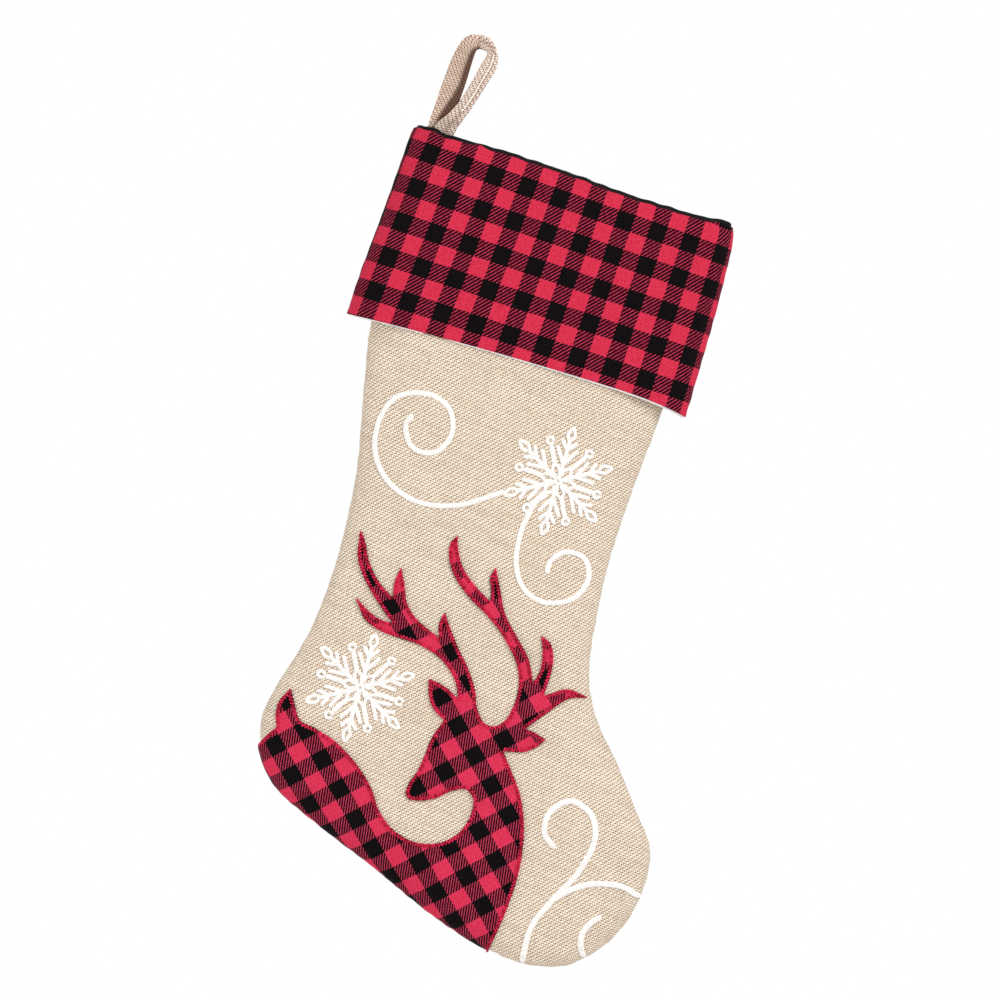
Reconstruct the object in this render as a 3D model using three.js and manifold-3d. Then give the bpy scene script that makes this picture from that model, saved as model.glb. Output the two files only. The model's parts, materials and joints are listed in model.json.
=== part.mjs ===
// A hanging stocking: a lined burlap foot and leg, a folded check cuff, a check deer applique,
// white thread embroidery, and a burlap loop that hangs it from its heel-side corner.
//
// Millimetres, +Z up, the decorated face towards -Y. The pieces are drawn on a flat pattern:
// "across" runs from the heel side to the toe side, "up" runs from the toe to the mouth, and the
// pattern's origin is the middle of the mouth. The whole pattern then leans by HANG_TILT, as the
// stocking does on its loop, and is moved so that the hook's bearing point is the part's origin.
import * as THREE from 'three';
import { mergeVertices } from 'three/addons/utils/BufferGeometryUtils.js';
import Module from 'manifold-3d';

const wasm = await Module();
wasm.setup();

// ---- Hanging ----
const HANG_TILT = THREE.MathUtils.degToRad(16.5);
const HOOK_POINT = [-71.5, 56.3];
const HINGE_HEIGHT = 7;

// ---- Section through the leg: a crowned front, and a flat back that lies against the wall ----
// Depths are measured from the plane of the side seams, which is SEAM_SETBACK behind the loop.
const SEAM_SETBACK = 2.4;
const SEAM_HALF_GAP = 0.6;
const EDGE_RADIUS = { front: 32, back: 10 };
const BODY_DEPTH = { front: 14, back: 3.2 };
const CUFF_DEPTH = { front: 17.5, back: 6.6 };

// ---- Cloth layers: [inner face, outer face], measured outwards from their envelope ----
const BURLAP = [-1, 0];
const LINING = [-2.2, -1.4];
const CUFF_CLOTH = [-1.2, 0];
const CUFF_LINING = [-2.3, -1.6];
const APPLIQUE = [0.3, 1.1];
const EDGE_STITCH = [1.4, 2.1];
const EMBROIDERY = [0.3, 1.3];

// ---- Mouth ----
const MOUTH_FALL = 2.8;
const MOUTH_FALL_FROM = -20;
const MOUTH_FALL_TO = 99;
const MOUTH_FADE = 60;
const BINDING = { base: 0.3, top: 3.3, inner: -2.4, corner: 1.2 };

// ---- Sewing ----
const SEAM_THREAD = { width: 0.8, thickness: 0.4, inset: 0.1, bodySteps: 40, cuffSteps: 8 };
const SATIN_WIDTH = 2.8;
const SATIN_OVERRUN = 1.6;
const SWIRL_WIDTH = 2.9;
const TOE_SWIRL_WIDTH = 3.1;
const PRISM_DEPTH = 60;

// ---- Side edges of the burlap, from the mouth down to the tip of the toe ----
const TOE_TIP = [152, -430];
const BODY_HEEL_SIDE = [
  [-95, 0], [-90, -117], [-82, -161], [-73, -206], [-69.5, -262], [-73, -305], [-82, -339],
  [-85.5, -360], [-80, -381], [-65, -398], [-35, -412], [0, -425.5], [50, -446], [83, -455.5],
  [106, -458], [130, -452], TOE_TIP,
];
const BODY_TOE_SIDE = [
  [96, 0], [91.6, -119], [88, -172], [87, -215], [89.3, -249], [95, -283], [106, -305],
  [126, -328], [145, -352], [158, -369], [162, -388], [159, -413], TOE_TIP,
];
const CUFF_HEEL_SIDE = [[-98.5, 0], [-99.7, -12], [-101.5, -50], [-104, -116]];
const CUFF_TOE_SIDE = [[100.5, 0], [103, -20], [105, -50], [105.7, -100], [104.5, -118]];

// ---- Deer, clockwise from the rump; its lower edge runs past the sole and is cut there ----
const DEER = [
  [-95, -374], [-81.7, -373.5], [-74.7, -364], [-77.5, -352], [-73, -340], [-67.7, -349],
  [-60, -357.6], [-44.3, -360.3], [-29, -368], [-13.9, -380], [-2.5, -394], [8.9, -402.8],
  [24, -406], [40.4, -399.4], [49, -389], [50.3, -376], [43.6, -367.4], [31.6, -373.8],
  [19.6, -381.4], [11.5, -382.3], [9.6, -376.2], [13.2, -363.4], [15.2, -344.2], [19.4, -331.6],
  [10, -325.8], [6, -319.4], [3.6, -310.8], [15.6, -313], [23.6, -317.6], [19.6, -308.2],
  [10, -299.4], [-6.5, -293.2], [-31.5, -291.5], [-42.8, -287.6], [-51, -277.4], [-38.8, -283.6],
  [-28, -284], [-46.2, -268.3], [-56.4, -255.2], [-59.8, -238], [-51.3, -251.8], [-40, -265],
  [-30.3, -271], [-32.2, -259.2], [-30.9, -252.2], [-24.6, -265.5], [-16.1, -276.8],
  [-3.1, -284.2], [2.6, -286], [0.1, -276.2], [1.4, -270.3], [8.2, -280.8], [20.8, -293.8],
  [31.6, -309], [38, -322.6], [46, -327.6], [54, -321.8], [56.6, -305], [54, -293],
  [45.6, -280.8], [34.3, -270], [17.3, -260.4], [4.3, -250.7], [-4.8, -239.4], [-4.2, -224.6],
  [2.6, -239.4], [13.9, -249.6], [25.8, -256.5], [21.3, -241.6], [23, -236.5], [30.9, -251.3],
  [41.7, -267.7], [56.4, -282], [63.6, -295.4], [65.1, -283], [60.4, -267.4], [70.6, -277.4],
  [71.8, -301], [84.4, -293.4], [96.5, -295], [84.4, -300.6], [74, -313.8], [66.8, -323],
  [80.2, -326], [71.2, -335.8], [58, -339.4], [72.4, -357], [82, -377], [87, -401],
  [86.5, -431], [83, -475], [-20, -460], [-95, -420],
];
const DEER_STITCH_FROM = 1;
const DEER_STITCH_TO = 89;

// ---- Embroidered swirls: centre lines ----
const SWIRLS = {
  swirl_upper_left: [
    [-49.6, -163], [-52.3, -169], [-47.1, -180], [-38.7, -182.9], [-29.7, -179.5],
    [-24.7, -166], [-31.3, -152.8], [-46.2, -148.9], [-62.2, -156], [-68.3, -172],
    [-64.9, -191.2], [-52.1, -205.6], [-32.3, -211.8], [-9.9, -207.4], [8, -197],
  ],
  swirl_upper_right: [
    [32.5, -203.5], [31.2, -214], [34.3, -231.7], [43, -243.8], [56.7, -247.7], [72.7, -240.3],
    [77.6, -226.5], [71.7, -216], [60, -215.6], [53, -223.5], [52.8, -231],
  ],
};
const TOE_SWIRLS = {
  toe_swirl_main: [
    [103.8, -386], [95.4, -379], [94.6, -367.4], [104.6, -356.4], [119, -360.8], [125, -373.8],
    [121, -396.2], [111, -416.2], [103.6, -435.4], [104.2, -452],
  ],
  toe_swirl_branch: [[119.5, -407.3], [132.6, -399.4], [148.2, -396.6], [157, -398]],
  toe_swirl_hook: [[142.6, -417.8], [135, -426.6], [134.9, -435.4], [138.2, -443.8]],
};

// ---- Snowflakes: six long arms with barbs, six short arms that end in rings ----
const SNOWFLAKES = { snowflake_upper: [43.8, -176.4], snowflake_lower: [-34, -327.5] };
const SNOWFLAKE = {
  arms: 6, hub: 5, stroke: 2.2, longReach: 27, tipCentre: 29.5, tipLength: 7, tipWidth: 5.6,
  shortReach: 23, ringCentre: 24.5, ringRadius: 2.8, ringSides: 8, shortTurn: 27,
  innerBarb: { from: 12.5, reach: 9.5, lean: 38 }, outerBarb: { from: 19.5, reach: 6.5, lean: 42 },
};

// ---- Hanging loop: a folded strip, as its outer and inner edges with its place in depth ----
const STRIP_THICKNESS = 2.2;
const STRIP_OFFSET = 1.35;
const LOOP_STATIONS = [
  { outer: [-90.4, 6.8], inner: [-77.5, 6.8], depth: 1 },
  { outer: [-89.9, 18], inner: [-76.8, 18], depth: 1 },
  { outer: [-89.2, 33], inner: [-76.1, 32], depth: 1 },
  { outer: [-87.8, 50], inner: [-75.9, 47], depth: 1 },
  { outer: [-84.2, 61], inner: [-75.7, 54], depth: 0.8 },
  { outer: [-77, 65], inner: [-74.6, 56.5], depth: 0.3 },
  { outer: [-69.5, 64.6], inner: [-71.3, 56.9], depth: -0.3 },
  { outer: [-63.6, 58.5], inner: [-68.6, 55.6], depth: -0.8 },
  { outer: [-60.9, 50], inner: [-69.9, 49.5], depth: -1 },
  { outer: [-63.5, 38.4], inner: [-72.4, 38.4], depth: -1 },
  { outer: [-67.5, 24], inner: [-76, 24.5], depth: -1 },
  { outer: [-70.9, 14], inner: [-81, 14], depth: -1 },
  { outer: [-73.4, 6.8], inner: [-85.8, 6.8], depth: -1 },
];
const LOOP_STEPS = 30;
const LOOP_SEAM = [[-65, 53], [-67.6, 38], [-71, 25], [-75, 13]];
const LOOP_SEAM_WIDTH = 0.9;
const TAILS = { left: -89.3, right: -77.5, bottom: -22, top: 3.7, thickness: 4.9 };
const BAR_TACK = { left: -88.5, right: -79, bottom: -7, top: -5.2, thickness: 0.8 };

// ---- Mesh density ----
const EDGE_COLUMNS = 5;
const MIDDLE_COLUMNS = 2;
const BODY_ROWS = [
  0, 0.13, 0.24, 0.32, 0.39, 0.44, 0.48, 0.515, 0.545, 0.575, 0.61, 0.65, 0.69, 0.73, 0.77,
  0.81, 0.85, 0.885, 0.915, 0.94, 0.96, 0.978, 0.99, 1,
];
const LINING_ROWS = BODY_ROWS;
const CUFF_ROWS = [0, 0.35, 0.7, 1];
const SIDE_SAMPLES = 220;
const SIDE_EXTENSION = 60;

// ---- Materials ----
const cloth = (color, roughness = 0.95) =>
  new THREE.MeshStandardMaterial({ color, roughness, metalness: 0 });
const MATERIALS = {
  burlap: () => cloth('#d3bb9b'),
  lining: () => cloth('#ece8e2', 0.9),
  check: () => cloth('#a31f36', 0.9),
  binding: () => cloth('#1b1719', 0.9),
  redThread: () => cloth('#b3203c', 0.6),
  whiteThread: () => cloth('#f6f2ea', 0.55),
  seamThread: () => cloth('#d8c8ae', 0.7),
};

// ---- Solids ----

// A closed BufferGeometry from points and triangles, facing out, without empty triangles.
function closedGeometry(points, triangles) {
  const raw = new THREE.BufferGeometry().setFromPoints(triangles.flat().map((i) => points[i]));
  const merged = mergeVertices(raw, 1e-4);
  const index = merged.index.array;
  const kept = [];
  let volume = 0;
  const corner = (i) => new THREE.Vector3().fromBufferAttribute(merged.attributes.position, i);
  for (let i = 0; i < index.length; i += 3) {
    const [a, b, c] = index.slice(i, i + 3);
    if (a === b || b === c || c === a) continue;
    volume += corner(a).dot(corner(b).cross(corner(c)));
    kept.push([a, b, c]);
  }
  merged.setIndex(kept.flatMap(([a, b, c]) => (volume < 0 ? [a, c, b] : [a, b, c])));
  return merged;
}

// The manifold-3d solid of a closed geometry.
function toSolid(geometry) {
  const bare = new THREE.BufferGeometry();
  bare.setAttribute('position', geometry.attributes.position);
  bare.setIndex(geometry.index);
  const merged = mergeVertices(bare, 1e-4);
  return new wasm.Manifold(new wasm.Mesh({
    numProp: 3,
    vertProperties: merged.attributes.position.array,
    triVerts: new Uint32Array(merged.index.array),
  }));
}

// The BufferGeometry of a manifold-3d solid.
function fromSolid(solid) {
  const mesh = solid.getMesh();
  const geometry = new THREE.BufferGeometry();
  geometry.setAttribute('position', new THREE.BufferAttribute(mesh.vertProperties, 3));
  geometry.setIndex(new THREE.BufferAttribute(mesh.triVerts, 1));
  return geometry;
}

// A closed loft through sections of equal point count, capped at both ends unless it is a ring.
function loft(sections, ring = false) {
  const sides = sections[0].length;
  const points = sections.flat();
  const triangles = [];
  const spans = ring ? sections.length : sections.length - 1;
  for (let s = 0; s < spans; s += 1) {
    const next = (s + 1) % sections.length;
    for (let k = 0; k < sides; k += 1) {
      const [a, b] = [s * sides + k, s * sides + ((k + 1) % sides)];
      const [c, d] = [next * sides + ((k + 1) % sides), next * sides + k];
      triangles.push([a, b, c], [a, c, d]);
    }
  }
  for (let k = 1; !ring && k < sides - 1; k += 1) {
    const end = (sections.length - 1) * sides;
    triangles.push([0, k + 1, k], [end, end + k, end + k + 1]);
  }
  return closedGeometry(points, triangles);
}

// ---- Envelopes: the smooth flattened tube that each layer of cloth follows ----

const FRONT = -1;
const BACK = 1;
const onSide = (values, side) => (side === FRONT ? values.front : values.back);

const curveThrough = (points) =>
  new THREE.CatmullRomCurve3(points.map(([u, v]) => new THREE.Vector3(u, 0, v)), false, 'centripetal');

// A side edge as a polyline, run on past its open ends, so that only the seams count as edges.
function sidePolyline(points, openBelow) {
  const line = curveThrough(points).getSpacedPoints(SIDE_SAMPLES);
  const beyond = (end, before) =>
    end.clone().add(end.clone().sub(before).setLength(SIDE_EXTENSION));
  line.unshift(beyond(line[0], line[1]));
  if (openBelow) line.push(beyond(line.at(-1), line.at(-2)));
  return line;
}

function makeEnvelope(heelPoints, toePoints, depth, openBelow) {
  const edges = [sidePolyline(heelPoints, openBelow), sidePolyline(toePoints, openBelow)];
  const segment = new THREE.Line3();
  const closest = new THREE.Vector3();

  // The nearest point on the side edges.
  function nearestEdge(point) {
    let best = null;
    let distance = Infinity;
    edges.forEach((line) => {
      for (let i = 1; i < line.length; i += 1) {
        segment.set(line[i - 1], line[i]).closestPointToPoint(point, true, closest);
        const gap = closest.distanceTo(point);
        if (gap >= distance) continue;
        distance = gap;
        best = closest.clone();
      }
    });
    return { distance, outward: best.sub(point).normalize() };
  }

  // A point on the front (side -1) or back (side +1), lifted off the envelope by `lift`.
  function place(point, middle, side, lift) {
    const inward = middle.clone().sub(point).setLength(0.2);
    const { distance, outward } = nearestEdge(point.clone().add(inward));
    const reach = onSide(depth, side);
    const radius = onSide(EDGE_RADIUS, side);
    const onEdge = nearestEdge(point).distance < 1e-3;
    const cos = onEdge ? 1 : Math.max(0, 1 - distance / radius);
    const sin = Math.sqrt(1 - cos * cos);
    const normal = new THREE.Vector2(cos / radius, sin / reach).normalize();
    const placed = point.clone().addScaledVector(outward, normal.x * lift);
    placed.y = side * (SEAM_HALF_GAP + reach * sin + normal.y * lift);
    placed.z += mouthShift(placed.x, point.z);
    return placed;
  }
  return { heel: curveThrough(heelPoints), toe: curveThrough(toePoints), place };
}

// How much the mouth's line falls towards the toe side, fading out down the leg.
function mouthShift(across, up) {
  const fall = MOUTH_FALL * THREE.MathUtils.smoothstep(across, MOUTH_FALL_FROM, MOUTH_FALL_TO);
  return -fall * THREE.MathUtils.clamp(1 + up / MOUTH_FADE, 0, 1);
}

// Points across the stocking between its side edges, closer together where the edge is rounded.
function rowAcross(envelope, fraction, side) {
  const from = envelope.heel.getPointAt(fraction);
  const to = envelope.toe.getPointAt(fraction);
  const width = from.distanceTo(to);
  const zone = Math.min(onSide(EDGE_RADIUS, side), width * 0.45);
  const along = [];
  for (let i = 0; i <= EDGE_COLUMNS; i += 1)
    along.push(zone * (1 - Math.cos((i / EDGE_COLUMNS) * Math.PI / 2)));
  for (let i = 1; i < MIDDLE_COLUMNS; i += 1)
    along.push(zone + (width - 2 * zone) * (i / MIDDLE_COLUMNS));
  for (let i = EDGE_COLUMNS; i >= 0; i -= 1) along.push(width - along[i]);
  return along.map((step) => from.clone().lerp(to, width > 0 ? step / width : 0));
}

// The points of a row, lifted off the front or back of an envelope.
function liftedRow(envelope, fraction, side, lift) {
  const row = rowAcross(envelope, fraction, side);
  const middleOf = (points) => points[0].clone().lerp(points.at(-1), 0.5);
  const middle = fraction < 1 ? middleOf(row) : middleOf(rowAcross(envelope, 0.97, side));
  return row.map((point) => envelope.place(point, middle, side, lift));
}

// A closed shell of cloth between two lifts, over the whole length of an envelope.
function clothShell(envelope, side, [inner, outer], fractions) {
  const sheet = (lift) => fractions.map((f) => liftedRow(envelope, f, side, lift));
  const [outside, inside] = [sheet(outer), sheet(inner)];
  const columns = outside[0].length;
  const points = [...outside.flat(), ...inside.flat()];
  const half = outside.flat().length;
  const triangles = [];
  const quad = (a, b, c, d) => triangles.push([a, b, c], [a, c, d]);
  const at = (row, column) => row * columns + column;
  const [lastRow, lastColumn] = [fractions.length - 1, columns - 1];
  for (let r = 0; r < lastRow; r += 1) {
    for (let c = 0; c < lastColumn; c += 1) {
      quad(at(r, c), at(r + 1, c), at(r + 1, c + 1), at(r, c + 1));
      quad(half + at(r, c), half + at(r, c + 1), half + at(r + 1, c + 1), half + at(r + 1, c));
    }
    quad(at(r, 0), half + at(r, 0), half + at(r + 1, 0), at(r + 1, 0));
    quad(at(r, lastColumn), at(r + 1, lastColumn), half + at(r + 1, lastColumn),
      half + at(r, lastColumn));
  }
  for (let c = 0; c < lastColumn; c += 1) {
    quad(at(0, c), at(0, c + 1), half + at(0, c + 1), half + at(0, c));
    quad(at(lastRow, c), half + at(lastRow, c), half + at(lastRow, c + 1), at(lastRow, c + 1));
  }
  return closedGeometry(points, triangles);
}

// ---- Pieces ----

const body = makeEnvelope(BODY_HEEL_SIDE, BODY_TOE_SIDE, BODY_DEPTH, false);
const cuff = makeEnvelope(CUFF_HEEL_SIDE, CUFF_TOE_SIDE, CUFF_DEPTH, true);

// The stitch line that joins a front to a back, along a route that keeps the inside on its left.
function seamThread(route) {
  const half = SEAM_THREAD.thickness / 2;
  const line = route.filter((p, i) => i === 0 || p.distanceTo(route[i - 1]) > 0.5);
  const sections = line.map((point, i) => {
    const [before, after] = [line[Math.max(i - 1, 0)], line[Math.min(i + 1, line.length - 1)]];
    const along = after.clone().sub(before).normalize();
    const inward = new THREE.Vector3(-along.z, 0, along.x);
    const corner = (step, depth) => {
      const placed = point.clone().addScaledVector(inward, step).setY(depth);
      placed.z += mouthShift(point.x, point.z);
      return placed;
    };
    const [near, far] = [SEAM_THREAD.inset, SEAM_THREAD.inset + SEAM_THREAD.width];
    return [corner(near, -half), corner(near, half), corner(far, half), corner(far, -half)];
  });
  return loft(sections);
}

// The bound edge of the mouth, a ring over the top edges of all the cloth layers.
function mouthBinding() {
  const ringOf = (envelope, lift) => {
    const front = liftedRow(envelope, 0, FRONT, lift);
    const back = liftedRow(envelope, 0, BACK, lift).reverse();
    return [...front, ...back];
  };
  const [outside, rounded, inside] =
    [ringOf(cuff, 0), ringOf(cuff, -BINDING.corner), ringOf(body, BINDING.inner)];
  const up = (point, height) => point.clone().add(new THREE.Vector3(0, 0, height));
  const sections = outside.map((point, i) => [
    up(point, BINDING.base),
    up(point, BINDING.top - BINDING.corner),
    up(rounded[i], BINDING.top),
    up(inside[i], BINDING.top),
    up(inside[i], BINDING.base),
  ]);
  return loft(sections, true);
}

// A prism through the front of the stocking, from a closed outline on the pattern.
function prismOf(outline) {
  const shape = new THREE.Shape(outline.map(([u, v]) => new THREE.Vector2(u, v)));
  const geometry = new THREE.ExtrudeGeometry(shape, { depth: PRISM_DEPTH, bevelEnabled: false });
  geometry.deleteAttribute('normal');
  geometry.deleteAttribute('uv');
  geometry.rotateX(Math.PI / 2);
  return toSolid(mergeVertices(geometry, 1e-4));
}

// A straight stroke between two pattern points, run on past both by `overrun`, as an outline.
function strokeOutline([u0, v0], [u1, v1], width, overrun = 0) {
  const along = new THREE.Vector2(u1 - u0, v1 - v0).normalize();
  const corner = (u, v, onward, sideways) =>
    [u + along.x * onward - along.y * sideways, v + along.y * onward + along.x * sideways];
  const half = width / 2;
  return [
    corner(u0, v0, -overrun, half), corner(u0, v0, -overrun, -half),
    corner(u1, v1, overrun, -half), corner(u1, v1, overrun, half),
  ];
}

// A smooth stripe of the given width along a centre line, as an outline.
function stripeOutline(points, width) {
  const curve = curveThrough(points);
  const steps = Math.round(curve.getLength() / 7);
  const sides = [[], []];
  for (let i = 0; i <= steps; i += 1) {
    const point = curve.getPointAt(i / steps);
    const along = curve.getTangentAt(i / steps);
    sides[0].push([point.x - along.z * width / 2, point.z + along.x * width / 2]);
    sides[1].push([point.x + along.z * width / 2, point.z - along.x * width / 2]);
  }
  return [...sides[0], ...sides[1].reverse()];
}

// A flat piece sewn on the front: the part of a cloth layer that lies inside a prism.
const layerCache = new Map();
function sewnOnFront(prism, layer) {
  const key = layer.join();
  if (!layerCache.has(key)) layerCache.set(key, toSolid(clothShell(body, FRONT, layer, BODY_ROWS)));
  return fromSolid(prism.intersect(layerCache.get(key)));
}

const deerPrism = prismOf(DEER);

// Satin stitching that follows the deer's outline, inside it.
function deerEdgeStitching() {
  let band = null;
  for (let i = DEER_STITCH_FROM; i < DEER_STITCH_TO; i += 1) {
    const stroke = prismOf(strokeOutline(DEER[i], DEER[i + 1], 2 * SATIN_WIDTH, SATIN_OVERRUN));
    band = band ? band.add(stroke) : stroke;
  }
  return sewnOnFront(band.intersect(deerPrism), EDGE_STITCH);
}

// One snowflake's strokes, joined.
function snowflakePrism([u, v]) {
  const at = (radius, degrees) => {
    const turn = THREE.MathUtils.degToRad(degrees);
    return [u + radius * Math.cos(turn), v + radius * Math.sin(turn)];
  };
  const polygon = (sides, pointAt) => Array.from({ length: sides }, (_, k) => pointAt(k));
  const s = SNOWFLAKE;
  let flake = prismOf(polygon(s.arms * 2, (k) => at(s.hub, k * 180 / s.arms)));
  const addStroke = (from, to) => {
    flake = flake.add(prismOf(strokeOutline(from, to, s.stroke)));
  };
  for (let arm = 0; arm < s.arms; arm += 1) {
    const long = 30 + arm * 360 / s.arms;
    addStroke(at(0, long), at(s.longReach, long));
    const [du, dv] = [Math.cos(THREE.MathUtils.degToRad(long)), Math.sin(THREE.MathUtils.degToRad(long))];
    const tip = (along, side) =>
      [at(s.tipCentre, long)[0] + along * du - side * dv, at(s.tipCentre, long)[1] + along * dv + side * du];
    const [half, wide] = [s.tipLength / 2, s.tipWidth / 2];
    flake = flake.add(prismOf([tip(-half, 0), tip(0, -wide), tip(half, 0), tip(0, wide)]));
    [s.innerBarb, s.outerBarb].forEach((barb) => {
      [-1, 1].forEach((side) => {
        const root = at(barb.from, long);
        const lean = THREE.MathUtils.degToRad(long + side * barb.lean);
        addStroke(root, [root[0] + barb.reach * Math.cos(lean), root[1] + barb.reach * Math.sin(lean)]);
      });
    });
    const short = s.shortTurn + 30 + arm * 360 / s.arms;
    addStroke(at(0, short), at(s.shortReach, short));
    const centre = at(s.ringCentre, short);
    flake = flake.add(prismOf(polygon(s.ringSides, (k) => {
      const turn = k * 2 * Math.PI / s.ringSides;
      return [centre[0] + s.ringRadius * Math.cos(turn), centre[1] + s.ringRadius * Math.sin(turn)];
    })));
  }
  return flake;
}

// The folded strip of the hanging loop, as one loft along its two edges.
function hangLoop() {
  const edge = (name) => new THREE.CatmullRomCurve3(
    LOOP_STATIONS.map((s) => new THREE.Vector3(s[name][0], s.depth * STRIP_OFFSET, s[name][1])),
    false, 'centripetal');
  const [outer, inner] = [edge('outer'), edge('inner')];
  const half = STRIP_THICKNESS / 2;
  const sections = [];
  for (let i = 0; i <= LOOP_STEPS; i += 1) {
    const [a, b] = [outer.getPoint(i / LOOP_STEPS), inner.getPoint(i / LOOP_STEPS)];
    const corner = (weight, side) => {
      const point = a.clone().lerp(b, weight);
      point.y += side * half;
      return point;
    };
    sections.push([
      corner(0, 0), corner(0.08, -1), corner(0.92, -1), corner(1, 0), corner(0.92, 1), corner(0.08, 1),
    ]);
  }
  return loft(sections);
}

// The stitched seam down the front of the loop's right-hand leg.
function loopSeam() {
  const face = -(STRIP_OFFSET + STRIP_THICKNESS / 2 + 0.3);
  const outline = stripeOutline(LOOP_SEAM, LOOP_SEAM_WIDTH);
  const steps = outline.length / 2;
  const at = ([u, v], depth) => new THREE.Vector3(u, depth, v);
  const sections = [];
  for (let i = 0; i < steps; i += 1) {
    const [left, right] = [outline[i], outline[outline.length - 1 - i]];
    sections.push([at(left, face), at(right, face), at(right, face - 0.5), at(left, face - 0.5)]);
  }
  return loft(sections);
}

// A flat block between pattern limits, `depth` being its middle.
function block({ left, right, bottom, top, thickness }, depth) {
  const geometry = new THREE.BoxGeometry(right - left, thickness, top - bottom);
  return { geometry, position: [(left + right) / 2, depth, (bottom + top) / 2] };
}

// ---- Assembly ----

const hanging = new THREE.Group();
hanging.rotation.y = HANG_TILT;
hanging.position.set(-HOOK_POINT[0], 0, -HOOK_POINT[1])
  .applyAxisAngle(new THREE.Vector3(0, 1, 0), HANG_TILT);

const stocking = new THREE.Group();
stocking.position.y = SEAM_SETBACK;
hanging.add(stocking);

function addPiece(name, geometry, material, position = [0, 0, 0], parent = stocking) {
  const piece = new THREE.Mesh(geometry, material());
  piece.name = name;
  piece.position.set(...position);
  parent.add(piece);
}

addPiece('front_panel', clothShell(body, FRONT, BURLAP, BODY_ROWS), MATERIALS.burlap);
addPiece('back_panel', clothShell(body, BACK, BURLAP, BODY_ROWS), MATERIALS.burlap);
addPiece('lining_front', clothShell(body, FRONT, LINING, LINING_ROWS), MATERIALS.lining);
addPiece('lining_back', clothShell(body, BACK, LINING, LINING_ROWS), MATERIALS.lining);
addPiece('cuff_front', clothShell(cuff, FRONT, CUFF_CLOTH, CUFF_ROWS), MATERIALS.check);
addPiece('cuff_back', clothShell(cuff, BACK, CUFF_CLOTH, CUFF_ROWS), MATERIALS.check);
addPiece('cuff_lining_front', clothShell(cuff, FRONT, CUFF_LINING, CUFF_ROWS), MATERIALS.lining);
addPiece('cuff_lining_back', clothShell(cuff, BACK, CUFF_LINING, CUFF_ROWS), MATERIALS.lining);
addPiece('mouth_binding', mouthBinding(), MATERIALS.binding);

const { bodySteps, cuffSteps } = SEAM_THREAD;
const bodyRoute = [
  ...body.heel.getSpacedPoints(bodySteps), ...body.toe.getSpacedPoints(bodySteps).reverse(),
];
const cuffRoutes = {
  heel: cuff.heel.getSpacedPoints(cuffSteps), toe: cuff.toe.getSpacedPoints(cuffSteps).reverse(),
};
addPiece('body_seam_thread', seamThread(bodyRoute), MATERIALS.seamThread);
addPiece('cuff_seam_thread_heel_side', seamThread(cuffRoutes.heel), MATERIALS.redThread);
addPiece('cuff_seam_thread_toe_side', seamThread(cuffRoutes.toe), MATERIALS.redThread);

addPiece('deer_applique', sewnOnFront(deerPrism, APPLIQUE), MATERIALS.check);
addPiece('deer_edge_stitching', deerEdgeStitching(), MATERIALS.redThread);
Object.entries(SNOWFLAKES).forEach(([name, centre]) => {
  addPiece(name, sewnOnFront(snowflakePrism(centre), EMBROIDERY), MATERIALS.whiteThread);
});
const addSwirls = (swirls, width) => Object.entries(swirls).forEach(([name, line]) => {
  addPiece(name, sewnOnFront(prismOf(stripeOutline(line, width)), EMBROIDERY), MATERIALS.whiteThread);
});
addSwirls(SWIRLS, SWIRL_WIDTH);
addSwirls(TOE_SWIRLS, TOE_SWIRL_WIDTH);

// The loop turns on the line across its root, HINGE_HEIGHT above the mouth, where its tails go in.
const loop = new THREE.Group();
loop.position.set(0, 0, HINGE_HEIGHT);
hanging.add(loop);
const onLoop = [0, 0, -HINGE_HEIGHT];
addPiece('hang_loop', hangLoop(), MATERIALS.burlap, onLoop, loop);
addPiece('loop_seam_stitching', loopSeam(), MATERIALS.seamThread, onLoop, loop);
const tails = block(TAILS, 0);
addPiece('loop_tails', tails.geometry, MATERIALS.burlap, tails.position, hanging);
const tack = block(BAR_TACK, -(TAILS.thickness + BAR_TACK.thickness) / 2 - 0.3);
addPiece('loop_bar_tack', tack.geometry, MATERIALS.seamThread, tack.position, hanging);

const part = new THREE.Group();
part.add(hanging);

export default part;
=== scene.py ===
"""The finished look of a hanging stocking, built around its CAD frame.

Shapes are drawn on the flat pattern that the CAD uses: "across" (u) runs from the heel side to the
toe side, "up" (v) runs from the toe to the mouth, both in millimetres, and "lift" is the height
above the stocking's smooth envelope. The hinge of the frame gives the pattern's place and lean.
"""

import json
import math

import bpy
import numpy as np
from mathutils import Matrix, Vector
from mathutils.geometry import delaunay_2d_cdt


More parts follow.
